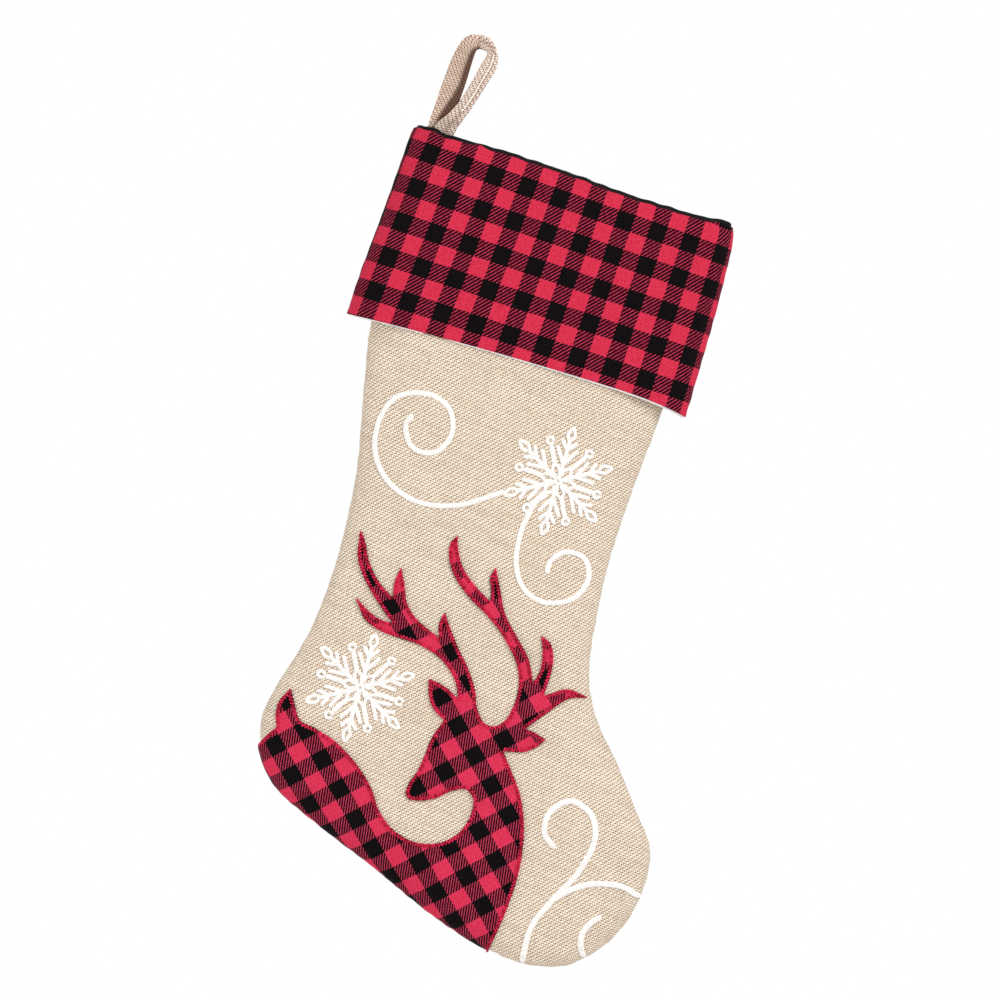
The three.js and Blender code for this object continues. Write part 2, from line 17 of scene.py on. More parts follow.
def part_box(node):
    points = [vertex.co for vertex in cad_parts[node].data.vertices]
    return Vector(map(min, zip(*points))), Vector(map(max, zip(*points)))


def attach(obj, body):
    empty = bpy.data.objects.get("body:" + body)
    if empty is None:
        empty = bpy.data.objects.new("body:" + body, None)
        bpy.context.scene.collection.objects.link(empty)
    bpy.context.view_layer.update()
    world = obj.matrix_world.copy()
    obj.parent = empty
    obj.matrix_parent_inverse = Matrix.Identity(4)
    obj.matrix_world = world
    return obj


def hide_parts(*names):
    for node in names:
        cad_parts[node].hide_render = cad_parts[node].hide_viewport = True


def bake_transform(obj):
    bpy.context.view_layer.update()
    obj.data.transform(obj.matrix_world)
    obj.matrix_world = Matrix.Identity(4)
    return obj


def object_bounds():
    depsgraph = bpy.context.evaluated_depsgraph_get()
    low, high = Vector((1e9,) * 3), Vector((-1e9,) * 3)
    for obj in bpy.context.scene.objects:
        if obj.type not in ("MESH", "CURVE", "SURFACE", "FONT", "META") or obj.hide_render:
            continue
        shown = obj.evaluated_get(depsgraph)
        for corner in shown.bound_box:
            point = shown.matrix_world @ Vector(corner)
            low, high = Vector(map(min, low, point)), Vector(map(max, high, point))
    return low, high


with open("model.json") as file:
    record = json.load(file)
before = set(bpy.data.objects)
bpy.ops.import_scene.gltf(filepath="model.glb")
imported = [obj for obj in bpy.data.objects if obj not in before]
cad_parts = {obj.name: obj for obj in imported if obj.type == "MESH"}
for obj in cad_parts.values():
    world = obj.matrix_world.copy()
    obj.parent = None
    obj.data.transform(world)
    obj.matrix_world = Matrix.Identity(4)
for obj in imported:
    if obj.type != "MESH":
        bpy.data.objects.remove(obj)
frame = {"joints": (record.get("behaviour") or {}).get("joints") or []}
cad_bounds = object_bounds()

MM = 0.001
WHITE = (1, 1, 1, 1)
FRONT, BACK = -1, 1

# ---- The pattern's place in the row frame ----
HINGE_ON_PATTERN = (-83.0, 7.0)
hinge = frame["joints"][0]
ACROSS = np.array(hinge["axis"], float)
UP = np.array([-ACROSS[2], 0.0, ACROSS[0]])
OUT = np.array([0.0, 1.0, 0.0])
ORIGIN = np.array(hinge["pos_m"], float) - MM * (HINGE_ON_PATTERN[0] * ACROSS + HINGE_ON_PATTERN[1] * UP)

# The side seams lie in this plane, and depths are measured from it.
SEAM_PLANE = (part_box("front_panel")[1].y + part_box("back_panel")[0].y) / 2 / MM


def depth_of(node, side):
    """How far a CAD node reaches in front of or behind the seams, in millimetres."""
    low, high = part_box(node)
    return SEAM_PLANE - low.y / MM if side == FRONT else high.y / MM - SEAM_PLANE


# ---- Section and layers, as in the CAD ----
EDGE_RADIUS = {FRONT: 32.0, BACK: 10.0}
SEAM_GAP = 0.12
TURNED_EDGE, TURNED_SHARE = 8.0, 0.7
BODY_DEPTH = {side: depth_of(node, side) for side, node in ((FRONT, "front_panel"), (BACK, "back_panel"))}
CUFF_DEPTH = {side: depth_of(node, side) for side, node in ((FRONT, "cuff_front"), (BACK, "cuff_back"))}
BURLAP_THICKNESS = 1.0
LINING_LIFT, LINING_THICKNESS = -1.5, 0.6
CUFF_THICKNESS = 0.5
FACING_LIFT, FACING_THICKNESS = -1.7, 0.6

# ---- Mouth ----
# Each step of the mouth's line: how far it rises, from where and to where along the mouth.
MOUTH_STEPS = ((-4.2, -45.0, 60.0), (1.9, 78.0, 98.0), (1.2, -76.0, -92.0))
MOUTH_FADE = 60.0
# How far each of the mouth's corners is rounded inwards, and how fast that fades below the mouth.
HEEL_CORNER, TOE_CORNER = (0.6, 1.7), (2.3, 5.0)
CORNER_START, CORNER_END = 83.0, 99.0
# Above the mouth the rounding grows, by no more than e to this power.
CORNER_CAP = 2.0

# ---- Relief of the cloth: heights, and how far they fade over, in millimetres ----
SLACK = {FRONT: 0.7, BACK: 0.3}
CUFF_SLACK = 0.6
PUCKER, BODY_PUCKER_RUN, CUFF_PUCKER_RUN = 0.1, 4.0, 5.0
RIM_WAVE, RIM_WAVE_RUN = 0.15, 12.0

# ---- Rows and columns of the cloth sheets ----
BODY_GRID, LINING_GRID = (330, 112), (220, 80)
CUFF_GRID, FACING_GRID = (90, 130), (60, 90)
SIDE_STEPS = 2000
# How far the burlap is drawn in at its seams, and over what distance.
BURLAP_TUCK, TUCK_RUN = 0.35, 0.8

# ---- Cuff: its soft roll at the mouth, its hem, its facing and the overlocked mouth ----
EASED_ROWS, ROLL_ROWS, HEM_ROWS = 12, 8, 4
ROLL_RADIUS, HEM_FOLD = 2.2, 0.45
RIM_TOP, RIM_WANDER = 0.55, 0.25
RIM_BUMP = {"at": -58.0, "height": 1.3, "width": 4.0}
FACING = {
    "drop": 1.0, "slack": 0.3, "slack_run": (-60, 98), "drop_rows": 8, "below_rim": 1.6, "rim_rows": 6,
}
OVERLOCK = {
    "loops": 430, "per_loop": 3, "sides": 12, "samples": 120, "outer_lift": -1.6, "inner_lift": -6.0,
    "size": 0.86, "beat": 0.2, "rise": 0.1, "height": 2.0, "shade_run": 450,
}

# ---- Side edges, from the mouth down ----
TOE_TIP = (151.2, -430.4)
BODY_HEEL_SIDE = [
    (-95, 0), (-90, -117), (-82, -161), (-73, -206), (-69.5, -262), (-73, -305), (-82, -339),
    (-85.5, -360), (-80, -381), (-65, -398), (-35, -412), (0, -425.5), (50, -446), (83, -455.5),
    (106, -458), (130, -451.8), (142.4, -441.5), TOE_TIP,
]
BODY_TOE_SIDE = [
    (96, 0), (91.6, -119), (88, -172), (87, -215), (89.3, -249), (95, -283), (106, -305),
    (126, -328), (145, -352), (158, -369), (162, -388), (159, -413), (154.8, -422.8), TOE_TIP,
]
CUFF_HEEL_SIDE = [(-98.9, 0), (-99.4, -12), (-100.5, -34), (-101.8, -56), (-104.3, -92), (-105, -116)]
CUFF_TOE_SIDE = [(103.2, 0), (104, -14), (105.4, -50), (105.8, -80), (105.9, -118)]
HEM_ARCH = {
    "rise": 4.0, "peak": 38.0, "heel_run": 140.0, "toe_run": 68.0, "toe_power": 3.4, "fade": (50.0, 116.0),
}

# ---- Deer, from the rump round to the chest ----
# Smooth runs between its corners. Each run starts at the corner that ended the run before it.
DEER_START = (-81.4, -375.6)
DEER_RUNS = [
    [(-78.4, -369.4), (-74.7, -364)],
    [(-77.3, -356.5), (-77.2, -348), (-73, -340)],
    [(-67.7, -349), (-62.7, -356), (-53.2, -358), (-39.2, -362.2), (-24, -371), (-11, -382.5),
     (-2.5, -394), (8.9, -402.8), (24, -406), (37, -402.4), (46.2, -394), (50.4, -382), (49.2, -371.8),
     (43.6, -367.4), (35.6, -370.6), (27.6, -377.4), (19.6, -381.4), (12.6, -382.8)],
    [(9.8, -380), (10, -373), (12.8, -365), (14.2, -355), (15.2, -344), (19.4, -331.6)],
    [(12, -327.6), (6.8, -321), (3.6, -310.8)],
    [(11.6, -311.8), (17.8, -314), (23.6, -317.6)],
    [(20.6, -310), (14, -302.2), (5.2, -296.6), (-6.5, -293.2), (-20, -292.4), (-31.5, -291.5),
     (-42.8, -287.6), (-51, -277.4)],
    [(-42.8, -282), (-34.9, -285), (-26, -285.2)],
    [(-31.5, -281.3), (-42.2, -272.3), (-51.5, -262.5), (-57.4, -252.5), (-59.8, -238)],
    [(-55.8, -243.3), (-50, -254), (-41, -264), (-30.3, -271)],
    [(-32.2, -262), (-30.9, -252.2)],
    [(-26.5, -260.5), (-21.5, -271.5), (-14, -278.5), (2.6, -286)],
    [(0.2, -278), (1.4, -270.3)],
    [(6, -276.8), (14.5, -287.6), (24, -298), (31.6, -309), (36.4, -320), (42.8, -326.8),
     (49.2, -326.6), (54.6, -320.5), (56.6, -305), (54, -293), (48.5, -284.2), (38, -273.5),
     (26.4, -265), (12.8, -257.5), (0.3, -247.3), (-5.8, -237), (-6.8, -229.5), (-4.2, -224.6)],
    [(-1.6, -232), (4.5, -242), (14, -249.8), (25.8, -256.5)],
    [(24.2, -250), (21.4, -242.5), (23, -236.5)],
    [(28.5, -246.5), (36, -260.8), (45.6, -271), (57, -282.8), (63.6, -295.4)],
    [(65.5, -288), (64.4, -278.5), (60.4, -267.4)],
    [(66.6, -270), (71, -278.8), (72.3, -288.7), (71.8, -301)],
    [(77.2, -297.4), (84.4, -293.4), (96.5, -295)],
    [(87.2, -298.2), (81.2, -304.2), (75, -312.5), (66.8, -323)],
    [(74, -323.8), (80.2, -326)],
    [(76.4, -331.4), (70, -336.3), (58, -339.4)],
    [(65.2, -348.2), (74.8, -361), (82, -377), (86, -394), (87.5, -412), (86.2, -435), (83.2, -456.2)],
]
OUTLINE_STEP = 0.8
DEER_APPLIQUE = {"lift": 1.1, "thickness": 0.8, "edge_gap": 0.45}

# ---- Check cloth: how often it repeats, and where its black squares lie on the cuff and the deer ----
CHECK_REPEAT = 20.4
CUFF_BLACKS = {"top": ((-84.2, -11.7), (99.2, -20.1)), "bottom": ((-92.6, -99.4), (97.9, -104.4))}
CUFF_REPEATS = (9, 4)
DEER_BLACK = (-43.5, -374.5)
DEER_REPEATS = ((19.9, 44.5), (20.3, 136.3))
# The twill's ridges: their spacing and lean on the cloth, in millimetres and degrees.
CUFF_TWILL, DEER_TWILL = (1.77, 48.0), (1.48, 52.0)
DEER_STITCH = {
    "reach": 2.4, "overhang": 0.15, "pitch": 2.0, "radius": 0.34, "lift": 1.2, "arch": 0.35, "sunk": 0.5,
}

# ---- Embroidery ----
SWIRL_WIDTH, TOE_SWIRL_WIDTH, SATIN_HEIGHT = 3.2, 3.6, 1.1
SATIN_STITCH, SATIN_LEAN = 0.55, 0.35
SWIRLS = {
    "swirl_upper_left": [
        (-49.6, -163), (-52.3, -169), (-47.1, -180), (-38.7, -182.9), (-29.7, -179.5),
        (-24.7, -166), (-31.3, -152.8), (-46.2, -148.9), (-62.2, -156), (-68.3, -172),
        (-64.9, -191.2), (-52.1, -205.6), (-32.3, -211.8), (-9.9, -207.4), (15, -191.5),
    ],
    "swirl_upper_right": [
        (39.7, -186), (35, -191.5), (32.6, -200), (31.2, -212.5), (34.3, -231.7), (43, -243.8),
        (56.7, -247.7), (72.7, -240.3), (77.6, -226.5), (71.7, -216), (60, -215.6),
        (53, -223.5), (52.8, -231),
    ],
}
TOE_SWIRLS = {
    "toe_swirl_main": [
        (103.8, -386), (95.4, -379), (94.6, -367.4), (104.6, -356.4), (119, -360.8),
        (125, -373.8), (121, -396.2), (111, -416.2), (103.6, -435.4), (104.4, -456.8),
    ],
    "toe_swirl_branch": [
        (111.8, -415.4), (115.8, -410.6), (122.5, -404.9), (132.6, -399.4), (148.2, -396.6),
        (160.6, -399.6),
    ],
    "toe_swirl_hook": [
        (142.1, -417.4), (138.9, -419.7), (135.5, -424.6), (133.9, -429.2), (134.1, -434),
        (135.5, -438.5), (138.8, -443.4),
    ],
}
SNOWFLAKES = {"snowflake_upper": (43.8, -176.4), "snowflake_lower": (-34, -327.5)}
SNOWFLAKE = {
    "arms": 6, "stroke": 2.5, "height": 1.15, "long_turn": 30.0, "long_reach": 26.0, "drop_centre": 28.8,
    "drop_half": (3.8, 2.6), "short_turn": -3.0, "short_reach": 22.2, "ring_centre": 24.5,
    "ring_radius": 1.9, "leaf": (3.2, 10.5, 2.2), "barbs": [(10.5, 12.0, 33.0), (18.8, 8.0, 38.0)],
}

# ---- Seams ----
SEAM_STITCH = {"sunk": 0.5, "bow": 0.15, "slant": 0.45, "half_width": 0.6, "radius": 0.22}
# How far a tube of thread narrows at its ends.
TUBE_END = 0.45

# ---- Hanging loop: the strip's outer and inner edge, their places in depth, and its thickness ----
LOOP_STATIONS = [
    ((-90.3, -21), (-77.5, -21), (1.35, 1.35), 2.2), ((-90.4, -6), (-77.5, -6), (1.35, 1.35), 2.2),
    ((-90.4, 6.8), (-77.5, 6.8), (1.8, 1.0), 2.0), ((-89.8, 22), (-76.6, 22), (4.4, 0.2), 1.9),
    ((-89.2, 35), (-76.0, 34), (5.0, -0.4), 1.9), ((-87.8, 50), (-75.9, 47), (5.0, -0.8), 2.1),
    ((-84.2, 61), (-75.7, 54), (3.6, -0.8), 2.4), ((-77, 65), (-74.6, 56.5), (1.2, 0.2), 2.6),
    ((-69.5, 64.6), (-71.3, 56.9), (-0.6, -1.4), 3.0), ((-63.6, 58.5), (-68.6, 55.6), (-1.6, -2.8), 3.0),
    ((-60.9, 50), (-69.9, 49.5), (-2.4, -4.2), 2.6), ((-63.5, 38.4), (-72.4, 38.4), (-4.0, -5.8), 2.2),
    ((-67.5, 24), (-76, 24.5), (-4.6, -6.4), 2.2), ((-70.9, 14), (-81, 14), (-4.2, -5.6), 2.2),
    ((-73.4, 6.8), (-85.8, 6.8), (-3.0, -3.6), 2.0), ((-75, -6), (-88, -6), (-1.35, -1.35), 2.2),
    ((-77, -21), (-90, -21), (-1.35, -1.35), 2.2),
]
LOOP_CREASE = {"station": 7.0, "width": 1.3, "pinch": 0.5, "back": 1.0}
LOOP_CURL = {"stations": (2.0, 3.4, 5.8, 7.0), "forward": 4.2, "share": 0.1}
LOOP_WOBBLE = 0.12
LOOP_SEAM = {
    "stations": (9.3, 12.6), "across": 0.12, "spacing": 2.3, "steps": 8, "lift": 0.45, "sunk": 0.35,
    "radius": 0.5,
}
BAR_TACK = {"left": -88.5, "right": -79.0, "bottom": -7.0, "top": -5.2, "depth": -2.75, "radius": 0.22}


# ======== Curves and the envelope ========


def between(t, low, high, a, b):
    """The straight blend from a, where t is low, to b, where t is high."""
    return (high - t) / (high - low) * a + (t - low) / (high - low) * b


def spline(points, count, closed=False):
    """Points evenly spaced along a centripetal Catmull-Rom curve."""
    p = np.array(points, float)
    if closed:
        p = np.vstack([p[-1], p, p[0], p[1]])
    else:
        p = np.vstack([2 * p[0] - p[1], p, 2 * p[-1] - p[-2]])
    fine = []
    steps = np.linspace(0, 1, 33)[:-1, None]
    for a, b, c, d in zip(p, p[1:], p[2:], p[3:]):
        gaps = [max(np.linalg.norm(y - x) ** 0.5, 1e-6) for x, y in ((a, b), (b, c), (c, d))]
        t0, t1 = 0.0, gaps[0]
        t2 = t1 + gaps[1]
        t3 = t2 + gaps[2]
        t = t1 + (t2 - t1) * steps
        middle = between(t, t1, t2, b, c)
        before = between(t, t0, t2, between(t, t0, t1, a, b), middle)
        after = between(t, t1, t3, middle, between(t, t2, t3, c, d))
        fine.append(between(t, t1, t2, before, after))
    return evenly(np.vstack([*fine, p[-2]]), count)


def run_along(line):
    """Length along a polyline up to each of its points."""
    return np.concatenate([[0], np.cumsum(np.linalg.norm(np.diff(line, axis=0), axis=1))])


def evenly(line, count):
    """count points evenly spaced along a polyline."""
    run = run_along(line)
    at = np.linspace(0, run[-1], count)
    return np.stack([np.interp(at, run, line[:, k]) for k in range(line.shape[1])], axis=1)


def length_of(line):
    return float(np.linalg.norm(np.diff(line, axis=0), axis=1).sum())


def directions(line):
    """Unit vectors along a line at each of its points."""
    along = np.gradient(line, axis=0)
    return along / np.linalg.norm(along, axis=1, keepdims=True)


def heading(degrees):
    """The unit vector on the pattern that is turned this far from across towards up."""
    turn = math.radians(degrees)
    return np.array([math.cos(turn), math.sin(turn)])


def leftwards(along):
    """Unit vectors to the left of directions on the pattern."""
    return np.stack([-along[:, 1], along[:, 0]], 1)


def full_turn(count):
    """Angles evenly spaced round a circle."""
    return np.linspace(0, 2 * math.pi, count, endpoint=False)


def smoothstep(x, low, high):
    t = np.clip((x - low) / (high - low), 0, 1)
    return t * t * (3 - 2 * t)


def mouth_shift(u, v):
    """How much the mouth's line is off its straight line, fading out down the leg."""
    rise = sum(height * smoothstep(u, start, end) for height, start, end in MOUTH_STEPS)
    return rise * np.clip(1 + v / MOUTH_FADE, 0, 1)


def corner_pull(u, v):
    """How far the mouth's two corners are rounded towards its middle."""
    near = smoothstep(np.abs(u), CORNER_START, CORNER_END)
    pull, fade = (np.where(u < 0, heel, toe) for heel, toe in zip(HEEL_CORNER, TOE_CORNER))
    return -np.sign(u) * near * pull * np.exp(np.minimum(v / fade, CORNER_CAP))


def hem_shift(flat):
    """How much the cuff's lower edge arches up between its corners, fading out up the cuff."""
    away = flat[..., 0] - HEM_ARCH["peak"]
    heel_share = (away / HEM_ARCH["heel_run"]) ** 2
    toe_share = (np.abs(away) / HEM_ARCH["toe_run"]) ** HEM_ARCH["toe_power"]
    arch = 1 - np.where(away < 0, heel_share, toe_share)
    return HEM_ARCH["rise"] * np.clip(arch, 0, 1) * smoothstep(-flat[..., 1], *HEM_ARCH["fade"])


def waves(seed, count, shortest, longest):
    """Seeded plane waves, which add up to a smooth random relief of about unit height."""
    random = np.random.RandomState(seed)
    angle = random.uniform(0, math.pi, count)
    number = 2 * math.pi / random.uniform(shortest, longest, count)
    phase = random.uniform(0, 2 * math.pi, count)
    share = random.uniform(0.5, 1.0, count)
    share /= math.sqrt((share**2).sum() / 2)

    def relief(u, v):
        u, v = np.asarray(u, float), np.asarray(v, float)
        total = np.zeros(np.broadcast(u, v).shape)
        for a, k, p, s in zip(angle, number, phase, share):
            total += s * np.sin(k * (u * math.cos(a) + v * math.sin(a)) + p)
        return total

    return relief


class Envelope:
    """The smooth lens that a tube of cloth fills: place() puts pattern points on its front or back."""

    STEP = 1.0
    MARGIN = 4
    SAMPLES = 260
    BEYOND = 60.0

    def __init__(self, heel, toe, depth, open_below, relief):
        self.heel_points, self.toe_points, self.depth, self.relief = heel, toe, depth, relief
        sides = [self.run_on(spline(points, self.SAMPLES), open_below) for points in (heel, toe)]
        outline = np.vstack([sides[0], sides[1][::-1]])
        self.low = outline.min(0) - self.MARGIN
        shape = np.ceil((outline.max(0) + self.MARGIN - self.low) / self.STEP).astype(int) + 1
        u, v = (low + self.STEP * np.arange(n) for low, n in zip(self.low, shape))
        u, v = np.meshgrid(u, v, indexing="ij")
        gap = np.full(u.shape, np.inf)
        for side in sides:
            for a, b in zip(side[:-1], side[1:]):
                along = b - a
                t = ((u - a[0]) * along[0] + (v - a[1]) * along[1]) / (along @ along)
                t = np.clip(t, 0, 1)
                gap = np.minimum(gap, (u - a[0] - t * along[0]) ** 2 + (v - a[1] - t * along[1]) ** 2)
        gap = np.sqrt(gap)
        self.inside = np.where(inside_polygon(np.stack([u, v], -1), outline), gap, -gap)
        self.slope = np.gradient(self.inside, self.STEP)

    def run_on(self, line, open_below):
        """A side edge carried straight on above the mouth, and below its end where that is open."""
        def beyond(end, before):
            away = end - before
            return end + away / np.linalg.norm(away) * self.BEYOND

        parts = [[beyond(line[0], line[1])], line]
        if open_below:
            parts.append([beyond(line[-1], line[-2])])
        return np.vstack(parts)

    def sample(self, field, flat):
        """A field of the envelope's grid, read between its grid points."""
        x = np.clip((flat[..., 0] - self.low[0]) / self.STEP, 0, field.shape[0] - 1.001)
        y = np.clip((flat[..., 1] - self.low[1]) / self.STEP, 0, field.shape[1] - 1.001)
        i, j = x.astype(int), y.astype(int)
        fx, fy = x - i, y - j
        return (
            field[i, j] * (1 - fx) * (1 - fy) + field[i + 1, j] * fx * (1 - fy)
            + field[i, j + 1] * (1 - fx) * fy + field[i + 1, j + 1] * fx * fy
        )

    def edge_distance(self, flat):
        return self.sample(self.inside, flat)

    def outward(self, flat):
        """The unit direction on the pattern towards the nearest side edge."""
        out_u, out_v = (-self.sample(slope, flat) for slope in self.slope)
        size = np.maximum(np.hypot(out_u, out_v), 1e-6)
        return out_u / size, out_v / size

    def place(self, flat, side, lift, tuck=0.0):
        """Pattern points (u, v) on the front or back, lifted off the envelope, as (u, depth, v)."""
        u, v = flat[..., 0], flat[..., 1]
        distance = self.edge_distance(flat)
        out_u, out_v = self.outward(flat)
        radius = EDGE_RADIUS[side]
        cos = np.clip(1 - distance / radius, 0, 1)
        sin = np.sqrt(1 - cos * cos)
        reach = self.depth[side] - SEAM_GAP
        level, deep = cos / radius, sin / reach
        size = np.hypot(level, deep)
        level, deep = level / size, deep / size
        raised = lift + self.relief(u, v, side, distance)
        return np.stack([
            u + out_u * level * raised - out_u * tuck + corner_pull(u, v),
            SEAM_PLANE + side * (SEAM_GAP + reach * sin + deep * raised),
            v + out_v * level * raised - out_v * tuck + mouth_shift(u, v),
        ], axis=-1)

    def cloth_at(self, flat, side):
        """Pattern points as places on the cloth, which runs further than the pattern where it turns
        the edge."""
        turn = np.linspace(0, math.pi / 2, 400)
        radius, reach = EDGE_RADIUS[side], self.depth[side] - SEAM_GAP
        step = np.hypot(radius * np.sin(turn), reach * np.cos(turn)) * (turn[1] - turn[0])
        run, distance = np.cumsum(step), radius * (1 - np.cos(turn))
        turned = min(TURNED_EDGE, TURNED_SHARE * radius)
        extra = np.interp(turned, distance, run) - run - (turned - distance)
        extra = np.interp(self.edge_distance(flat), distance, np.where(distance < turned, extra, 0))
        return flat + np.stack(self.outward(flat), -1) * extra[..., None]


def inside_polygon(flat, polygon):
    """Even-odd test of points against a closed polygon."""
    u, v = flat[..., 0], flat[..., 1]
    inside = np.zeros(u.shape, bool)
    for (u0, v0), (u1, v1) in zip(polygon, np.roll(polygon, -1, axis=0)):
        if v0 == v1:
            continue
        crosses = (v0 > v) != (v1 > v)
        inside ^= crosses & (u < (u1 - u0) * (v - v0) / (v1 - v0) + u0)
    return inside


body_waves = {FRONT: waves(11, 9, 38, 120), BACK: waves(12, 9, 38, 120)}
seam_waves = waves(13, 8, 7, 15)
cuff_waves = {FRONT: waves(14, 9, 24, 90), BACK: waves(15, 9, 24, 90)}
rim_waves = waves(16, 8, 9, 26)


def body_relief(u, v, side, distance):
    """Slack in the burlap: long soft waves that die out at the seams, and small seam puckers."""
    slack = SLACK[side] * body_waves[side](u, v) * smoothstep(distance, 0, 30)
    pucker = PUCKER * seam_waves(u, v) * np.exp(-np.maximum(distance, 0) / BODY_PUCKER_RUN)
    return slack + pucker


def cuff_relief(u, v, side, distance):
    """Slack in the cuff, more of it towards its free lower edge."""
    slack = CUFF_SLACK * SLACK[side] * cuff_waves[side](u, v) * (0.5 + 0.5 * smoothstep(-v, 0, 110))
    pucker = PUCKER * seam_waves(u + 40, v) * np.exp(-np.maximum(distance, 0) / CUFF_PUCKER_RUN)
    rim = RIM_WAVE * rim_waves(u, 0 * v) * np.exp(-np.maximum(-v, 0) / RIM_WAVE_RUN)
    return slack * smoothstep(distance, 0, 25) + pucker + rim


body = Envelope(BODY_HEEL_SIDE, BODY_TOE_SIDE, BODY_DEPTH, False, body_relief)
cuff = Envelope(CUFF_HEEL_SIDE, CUFF_TOE_SIDE, CUFF_DEPTH, True, cuff_relief)


# ======== Meshes ========


def to_row(points):
    """(u, depth, v) in pattern millimetres as row-frame metres."""
    points = np.asarray(points, float)
    return ORIGIN + MM * (points[..., 0:1] * ACROSS + points[..., 1:2] * OUT + points[..., 2:3] * UP)


def add_to_scene(name, data):
    made = bpy.data.objects.new(name, data)
    bpy.context.scene.collection.objects.link(made)
    return made


def make_piece(name, points, faces, pattern, material):
    """A smooth-shaded mesh from pattern-space points, with its cloth coordinates as an attribute."""
    mesh = bpy.data.meshes.new(name)
    mesh.from_pydata(to_row(points).reshape(-1, 3).tolist(), [], [list(map(int, f)) for f in faces])
    mesh.update()
    cloth = np.zeros((len(mesh.vertices), 3), np.float32)
    pattern = np.asarray(pattern, np.float32).reshape(len(mesh.vertices), -1)
    cloth[:, : pattern.shape[1]] = pattern
    mesh.attributes.new("pattern", "FLOAT_VECTOR", "POINT").data.foreach_set("vector", cloth.ravel())
    mesh.polygons.foreach_set("use_smooth", [True] * len(mesh.polygons))
    mesh.materials.append(material)
    return add_to_scene(name, mesh)


def grid_faces(rows, columns, closed=False, flip=False):
    """Quads of a grid of rows by columns points; closed joins the last column to the first."""
    r, c = np.meshgrid(np.arange(rows - 1), np.arange(columns if closed else columns - 1), indexing="ij")
    n = (c + 1) % columns
    corners = [r * columns + c, (r + 1) * columns + c, (r + 1) * columns + n, r * columns + n]
    quads = np.stack(corners, -1).reshape(-1, 4)
    return quads[:, ::-1] if flip else quads


def thicken(piece, thickness):
    """Gives a sheet its thickness, inwards from the modelled face."""
    solid = piece.modifiers.new("cloth_thickness", "SOLIDIFY")
    solid.thickness = thickness * MM
    solid.offset = -1
    solid.use_quality_normals = True
    return piece


def row_steps(width, columns, side):
    """Shares of a row's width, closer together where the edge is rounded."""
    zone = min(EDGE_RADIUS[side], 0.45 * width)
    edge = zone * (1 - np.cos(np.linspace(0, math.pi / 2, columns // 4 + 1)))
    middle = np.linspace(zone, width - zone, columns // 2 + 1)[1:-1]
    return np.concatenate([edge, middle, (width - edge)[::-1]]) / width


def sheet_grid(envelope, side, lift, rows, columns, tuck=0.0):
    """Points and pattern coordinates of a sheet between the side edges of an envelope."""
    chosen = np.round(np.linspace(0, 1, rows) * SIDE_STEPS).astype(int)
    heel = spline(envelope.heel_points, SIDE_STEPS + 1)[chosen]
    toe = spline(envelope.toe_points, SIDE_STEPS + 1)[chosen]
    width = np.linalg.norm(toe - heel, axis=1)
    across = np.array([row_steps(max(w, 1e-3), columns, side) for w in width])
    flat = heel[:, None] + (toe - heel)[:, None] * across[..., None]
    edge = np.minimum(across, 1 - across) * width[:, None]
    tucked = tuck * np.exp(-edge / TUCK_RUN)
    return envelope.place(flat, side, lift, tucked), flat


def cuff_cloth(flat):
    """The check cloth's own coordinates on the cuff, where it was sewn on slightly askew."""
    u, v = flat[..., 0], flat[..., 1]
    (u0, v0), (u1, v1) = CUFF_BLACKS["top"]
    (u2, v2), (u3, v3) = CUFF_BLACKS["bottom"]
    down = (v0 - v) / (v0 - v2)
    left, right = u0 + (u2 - u0) * down, u1 + (u3 - u1) * down
    share = (u - left) / (right - left)
    top, bottom = v0 + (v1 - v0) * share, v2 + (v3 - v2) * share
    rows = (v - top) / (top - bottom) * CUFF_REPEATS[1]
    return CHECK_REPEAT * np.stack([share * CUFF_REPEATS[0], rows], -1)


def deer_cloth_at(flat):
    """The check cloth's own coordinates on the deer, where it is cut on the bias."""
    repeats = np.array([size * heading(degrees) for size, degrees in DEER_REPEATS])
    return CHECK_REPEAT * (flat - np.array(DEER_BLACK)) @ np.linalg.inv(repeats)


# ======== Materials ========


class Value:
    """What shader nodes work out; plain sums and products can be written with it."""

    def __init__(self, shader, socket):
        self.shader, self.socket = shader, socket

    def __add__(self, other):
        return self.shader.math("ADD", self, other)

    def __sub__(self, other):
        return self.shader.math("SUBTRACT", self, other)

    def __rsub__(self, other):
        return self.shader.math("SUBTRACT", other, self)

    def __mul__(self, other):
        return self.shader.math("MULTIPLY", self, other)

    __radd__, __rmul__ = __add__, __mul__


